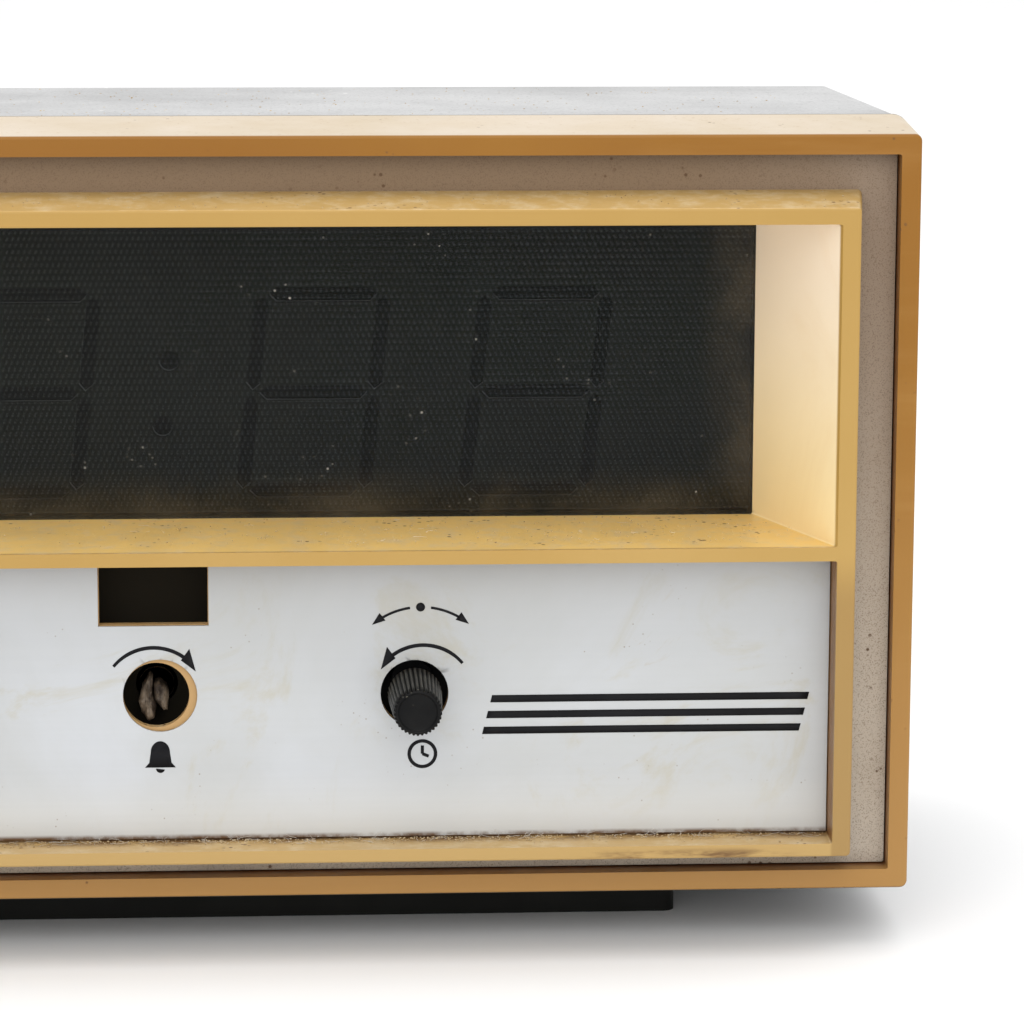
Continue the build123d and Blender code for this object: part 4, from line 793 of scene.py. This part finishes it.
def make_printing():
    """Arrows, marks and stripes. At the two photographed controls they sit a little off the axes."""
    bm = bmesh.new()
    arc_arrow(bm, ALARM_X - 0.4 * MM, True)
    arc_arrow(bm, TIME_X + 1.4 * MM, False)
    arc_arrow(bm, SWITCH_X, False)
    bell_mark(bm, ALARM_X + 0.6 * MM, MARK_Z, MARK_SIZE)
    clock_mark(bm, TIME_X + 1.3 * MM, MARK_Z, MARK_SIZE)
    travel_mark(bm, TIME_X + 1.0 * MM)
    bell_mark(bm, SWITCH_X, MARK_Z, MARK_SIZE)
    stripe_motif(bm)
    grid_cuts(bm, 3 * MM)
    bend_foil(bm)
    printing = piece("panel_printing", bm, "fascia_metal", "clock")
    printing.data.materials[0] = INK
    thick = printing.modifiers.new("thick", "SOLIDIFY")
    thick.thickness = INK_THICK


# ---------------------------------------------------------------- knobs and the broken shaft

RIBS = 34
RIB_DEPTH = 0.34 * MM
AROUND = RIBS * 8


def knob_profile():
    """Depth from the front, radius and rib strength along a knob."""
    return [
        (0.45, 0.0, 0.0), (0.45, 2.9, 0.0), (0.40, 3.05, 0.0), (0.1, 3.2, 0.0), (0.0, 3.3, 0.0),
        (0.0, 3.45, 0.0), (0.1, 3.6, 0.0), (0.25, 3.75, 0.3), (0.35, 3.9, 0.9), (0.45, 3.98, 1.0),
        (1.6, 4.04, 1.0), (5.0, 4.2, 1.0), (9.0, 4.36, 1.0), (12.6, 4.5, 1.0), (13.3, 4.52, 0.6),
        (13.7, 4.4, 0.0), (13.7, 0.0, 0.0),
    ]


def make_knob(name, x, low, body, node):
    bm = bmesh.new()
    crests = bm.verts.layers.float.new("crest")
    rings = []
    for depth, radius, rib in knob_profile():
        ring = []
        for index in range(AROUND):
            angle = 2 * math.pi * index / AROUND
            crest = abs(math.sin(angle * RIBS / 2))
            reach = radius * MM - RIB_DEPTH * rib * (1 - crest)
            place = (x + reach * math.cos(angle), low.y + depth * MM, CONTROL_Z + reach * math.sin(angle))
            vertex = bm.verts.new(place)
            vertex[crests] = rib * crest**3
            ring.append(vertex)
        rings.append(ring)
    skin(bm, rings)
    bmesh.ops.remove_doubles(bm, verts=bm.verts, dist=0.000002)
    knob = piece(name, bm, "black_knob", body, 50.0)
    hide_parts(node)


SPINDLE_FRONT = 13.6
SPINDLE_R = 3.5
FLANGE_R = 5.0
FLANGE_THICK = 2.0
NEARLY_CLOSED_R = 0.01
SPINDLE_SIDES = 48


def make_rear_spindle():
    """The alarm switch's shaft behind its knob, as long as the CAD one."""
    bm = bmesh.new()
    shoulder = switch_high.y / MM - switch_low.y / MM - FLANGE_THICK
    back = shoulder + FLANGE_THICK
    profile = [(SPINDLE_FRONT, NEARLY_CLOSED_R), (SPINDLE_FRONT, SPINDLE_R), (shoulder, SPINDLE_R)]
    profile += [(shoulder, FLANGE_R), (back, FLANGE_R), (back, NEARLY_CLOSED_R)]
    rings = []
    for depth, radius in profile:
        ring = []
        for index in range(SPINDLE_SIDES):
            angle = 2 * math.pi * index / SPINDLE_SIDES
            offset = Vector((math.cos(angle), 0, math.sin(angle))) * radius * MM
            ring.append(bm.verts.new(Vector((SWITCH_X, switch_low.y + depth * MM, CONTROL_Z)) + offset))
        rings.append(ring)
    skin(bm, rings)
    piece("switch_spindle", bm, "black_knob", "alarm_switch", 30.0)


LEFT_SPLINTER = [
    (-0.9, 2.9), (-0.4, 2.4), (-0.5, -0.2), (0.2, -2.0), (-0.2, -4.2),
    (-1.2, -4.5), (-2.3, -3.2), (-2.8, -1.5), (-2.2, 0.8),
]
RIGHT_SPLINTER = [
    (-0.3, 1.3), (0.5, 1.8), (1.8, 0.9), (2.3, -0.4), (2.0, -2.8), (1.4, -2.9), (-0.2, -1.1),
]
SPLINTER_REACH = 5.2
HUB_FROM_TIP = 6.5 * MM
SIDE_STEPS = 5


def splinter(bm, outline):
    """One half of the split shaft, rough at its broken end and tapering towards it."""
    centre_x = sum(point[0] for point in outline) / len(outline)
    centre_z = sum(point[1] for point in outline) / len(outline)
    fine = []
    for (x0, z0), (x1, z1) in zip(outline, outline[1:] + outline[:1]):
        for step in range(SIDE_STEPS):
            share = step / SIDE_STEPS
            fine.append((x0 + (x1 - x0) * share, z0 + (z1 - z0) * share))
    rings = []
    sections = [(0.35, 0.0), (0.7, 0.25), (0.92, 0.7), (1.0, 1.5), (1.0, 3.5), (0.96, SPLINTER_REACH)]
    for size, depth in sections:
        ring = []
        for x, z in fine:
            rough = 1 + 0.07 * noise.noise(Vector((x * 1.7, z * 1.7, depth * 0.8)))
            snapped = 0.7 * noise.noise(Vector((x * 0.7, z * 0.6, 5.0))) * max(0.0, 1 - depth / 2)
            place_x = centre_x + (x - centre_x) * size * rough
            place_z = centre_z + (z - centre_z) * size * rough
            ring.append(bm.verts.new((
                ALARM_X + (place_x - 0.2) * MM,
                shaft_low.y + max(depth + snapped + 0.7 + 0.35 * (z + 3), 0.0) * MM,
                CONTROL_Z + (place_z - 0.5) * MM,
            )))
        rings.append(ring)
    skin(bm, rings)
    for ring in (rings[0], rings[-1]):
        cap = bm.faces.new(ring)
        bmesh.ops.triangulate(bm, faces=[cap])


def make_broken_shaft():
    """The alarm shaft, split lengthwise and snapped off behind the panel, on its hub and cam."""
    bm = bmesh.new()
    bm.from_mesh(frame["nodes"]["alarm_set_shaft"].data)
    hub_front = shaft_low.y + HUB_FROM_TIP
    geometry = bm.verts[:] + bm.edges[:] + bm.faces[:]
    bmesh.ops.bisect_plane(
        bm, geom=geometry, plane_co=(0, hub_front, 0), plane_no=(0, -1, 0), clear_outer=True,
    )
    rim = [edge for edge in bm.edges if edge.is_boundary]
    bmesh.ops.holes_fill(bm, edges=rim, sides=0)
    splinter(bm, LEFT_SPLINTER)
    splinter(bm, RIGHT_SPLINTER)
    shaft = piece("broken_alarm_shaft", bm, "shaft_plastic", "alarm_set", 35.0)
    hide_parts("alarm_set_shaft")


# ---------------------------------------------------------------- dust and lint


def speck(bm, place, size):
    """A small irregular crumb."""
    made = bmesh.ops.create_icosphere(bm, subdivisions=1, radius=size)
    for vertex in made["verts"]:
        vertex.co.x *= random.uniform(0.6, 1.4)
        vertex.co.y *= random.uniform(0.6, 1.2)
        vertex.co.z *= random.uniform(0.4, 0.9)
        vertex.co += place


def fibre(bm, points, radius):
    """A thin three-sided thread through points."""
    rings = []
    for index, point in enumerate(points):
        ahead = points[min(index + 1, len(points) - 1)] - points[max(index - 1, 0)]
        side = ahead.cross(Vector((0, 0, 1)))
        side = side.normalized() if side.length > 1e-9 else Vector((1, 0, 0))
        up = side.cross(ahead).normalized()
        ring = []
        for corner in range(3):
            angle = 2 * math.pi * corner / 3
            ring.append(bm.verts.new(point + (side * math.cos(angle) + up * math.sin(angle)) * radius))
        rings.append(ring)
    skin(bm, rings)
    bm.faces.new(rings[0])
    bm.faces.new(list(reversed(rings[-1])))


def curl(start, length, lift):
    """Points of a loose curled fibre that starts at a place."""
    heading = random.uniform(0, 2 * math.pi)
    points = [start.copy()]
    for _ in range(CURL_STEPS):
        heading += random.uniform(-0.8, 0.8)
        move = Vector((math.cos(heading), 0.25 * math.sin(heading), 0.35 * math.sin(heading) * lift))
        points.append(points[-1] + move * length / CURL_STEPS)
    return points


LEDGE_Z = panel_low.z - 0.4 * MM
SILL_Z = lens_low.z + 1.75 * MM
LEDGE_CRUMBS = 1500
SILL_CRUMBS = 420
TOP_BAR_CRUMBS = 260
CASE_CRUMBS = 420
LEDGE_FIBRES = 220
SILL_FIBRES = 26
TOP_BAR_SLOPE = 0.133
CASE_TOP_FALL = 2.3
CASE_TOP_LENGTH = 78.0
CURL_STEPS = 6


def make_dust():
    """Crumbs that lie on the ledge under the panel, the sill and the top edges."""
    bm = bmesh.new()
    for _ in range(LEDGE_CRUMBS):
        x = random.uniform(-111, 111) * MM
        y = FASCIA - abs(random.gauss(0, 1.6)) * MM
        if y < INNER_FRONT + 0.6 * MM:
            continue
        speck(bm, Vector((x, y, LEDGE_Z + 0.08 * MM)), random.uniform(0.05, 0.20) * MM)
    for _ in range(SILL_CRUMBS):
        x = random.triangular(-105, 111, 98) * MM
        y = random.uniform(INNER_FRONT + 2 * MM, lens_low.y - 1 * MM)
        speck(bm, Vector((x, y, SILL_Z + 0.1 * MM)), random.uniform(0.04, 0.15) * MM)
    for _ in range(TOP_BAR_CRUMBS):
        x = random.uniform(-113, 113) * MM
        y = random.uniform(INNER_FRONT + 1 * MM, recess_low.y - 1 * MM)
        z = inner_high.z - 1.55 * MM + (y - INNER_FRONT) * TOP_BAR_SLOPE
        speck(bm, Vector((x, y, z)), random.uniform(0.05, 0.16) * MM)
    for _ in range(CASE_CRUMBS):
        x = random.uniform(-110, 110) * MM
        y = random.uniform(case_low.y + 4 * MM, case_high.y - 4 * MM)
        z = case_high.z - (y - case_low.y) * CASE_TOP_FALL / CASE_TOP_LENGTH
        speck(bm, Vector((x, y, z)), random.uniform(0.05, 0.2) * MM)
    return piece("dust_crumbs", bm, "inner_cream", "clock")


def make_lint():
    """Curled fibres on the ledge and the sill."""
    bm = bmesh.new()
    for _ in range(LEDGE_FIBRES):
        x = random.uniform(-111, 111) * MM
        y = FASCIA - random.uniform(0.3, 3.0) * MM
        start = Vector((x, y, LEDGE_Z + random.uniform(0.1, 0.4) * MM))
        fibre(bm, curl(start, random.uniform(1.0, 4.0) * MM, 1.0), 0.03 * MM)
    for _ in range(SILL_FIBRES):
        x = random.triangular(-100, 100, 80) * MM
        y = random.uniform(INNER_FRONT + 3 * MM, lens_low.y - 2 * MM)
        start = Vector((x, y, SILL_Z + 0.2 * MM))
        fibre(bm, curl(start, random.uniform(0.8, 2.5) * MM, 0.4), 0.025 * MM)
    return piece("lint", bm, "grey_panel", "clock")


DUST = plain_plastic("dust", linear(150, 124, 88), linear(206, 186, 150), 0.8)
LINT = plain_plastic("lint_grey", linear(168, 160, 148), linear(214, 208, 198), 0.8)

make_fascia()
make_printing()
make_knob("time_knob_ribbed", TIME_X, knob_low, "time_set_knob", "time_set_knob")
make_knob("switch_knob_ribbed", SWITCH_X, switch_low, "alarm_switch", "alarm_switch_knob")
make_rear_spindle()
make_broken_shaft()
make_dust().data.materials[0] = DUST
make_lint().data.materials[0] = LINT

# ---------------------------------------------------------------- floor, light and camera


FLOOR_REACH = 9.0


def make_floor():
    mesh = bpy.data.meshes.new("floor")
    corners = [(x * FLOOR_REACH, y * FLOOR_REACH, 0) for x, y in ((-1, -1), (1, -1), (1, 1), (-1, 1))]
    mesh.from_pydata(corners, [], [(0, 1, 2, 3)])
    floor = bpy.data.objects.new("floor", mesh)
    bpy.context.scene.collection.objects.link(floor)
    paint = Paint("floor_paper", roughness=0.9, specular=0.1)
    paint.wire(paint.mix(paint.noise(3.0), linear(246, 246, 246), linear(250, 250, 250)), "Base Color")
    mesh.materials.append(paint.material)


def soft_light(name, place, target, size, power):
    data = bpy.data.lights.new(name, "AREA")
    data.shape = "RECTANGLE"
    data.size, data.size_y = size
    data.energy = power
    lamp = bpy.data.objects.new(name, data)
    lamp.location = place
    lamp.rotation_mode = "QUATERNION"
    lamp.rotation_quaternion = (Vector(target) - Vector(place)).to_track_quat("-Z", "Y")
    bpy.context.scene.collection.objects.link(lamp)


def make_world(strength):
    world = bpy.data.worlds.new("studio")
    world.use_nodes = True
    background = world.node_tree.nodes["Background"]
    background.inputs["Color"].default_value = (1.0, 1.0, 1.0, 1.0)
    background.inputs["Strength"].default_value = strength
    bpy.context.scene.world = world


FOCAL = 156.3
SENSOR = 36.0
CAMERA_AT = Vector((12.9, FRONT / MM - 719.6, 214.4)) * MM
YAW = 3.63
PITCH = 10.93
ROLL = -0.22


def make_camera():
    data = bpy.data.cameras.new("camera")
    data.lens = FOCAL
    data.sensor_width = SENSOR
    data.dof.use_dof = False
    camera = bpy.data.objects.new("camera", data)
    yaw, pitch, roll = (math.radians(angle) for angle in (YAW, PITCH, ROLL))
    ahead = Vector((math.sin(yaw) * math.cos(pitch), math.cos(yaw) * math.cos(pitch), -math.sin(pitch)))
    right = Vector((math.cos(yaw), -math.sin(yaw), 0))
    up = right.cross(ahead)
    level_right = right * math.cos(roll) - up * math.sin(roll)
    level_up = right * math.sin(roll) + up * math.cos(roll)
    turn = Matrix((level_right, level_up, -ahead)).transposed().to_4x4()
    camera.matrix_world = Matrix.Translation(CAMERA_AT) @ turn
    bpy.context.scene.collection.objects.link(camera)
    bpy.context.scene.camera = camera


make_floor()
make_world(1.0)
soft_light("key", (-0.15, -1.45, 0.9), (0.03, 0, 0.08), (1.4, 1.1), 9.5)
soft_light("top", (0.1, -0.1, 1.6), (0, 0, 0.1), (1.8, 1.4), 9.0)
make_camera()
bpy.context.scene.view_settings.view_transform = "Standard"
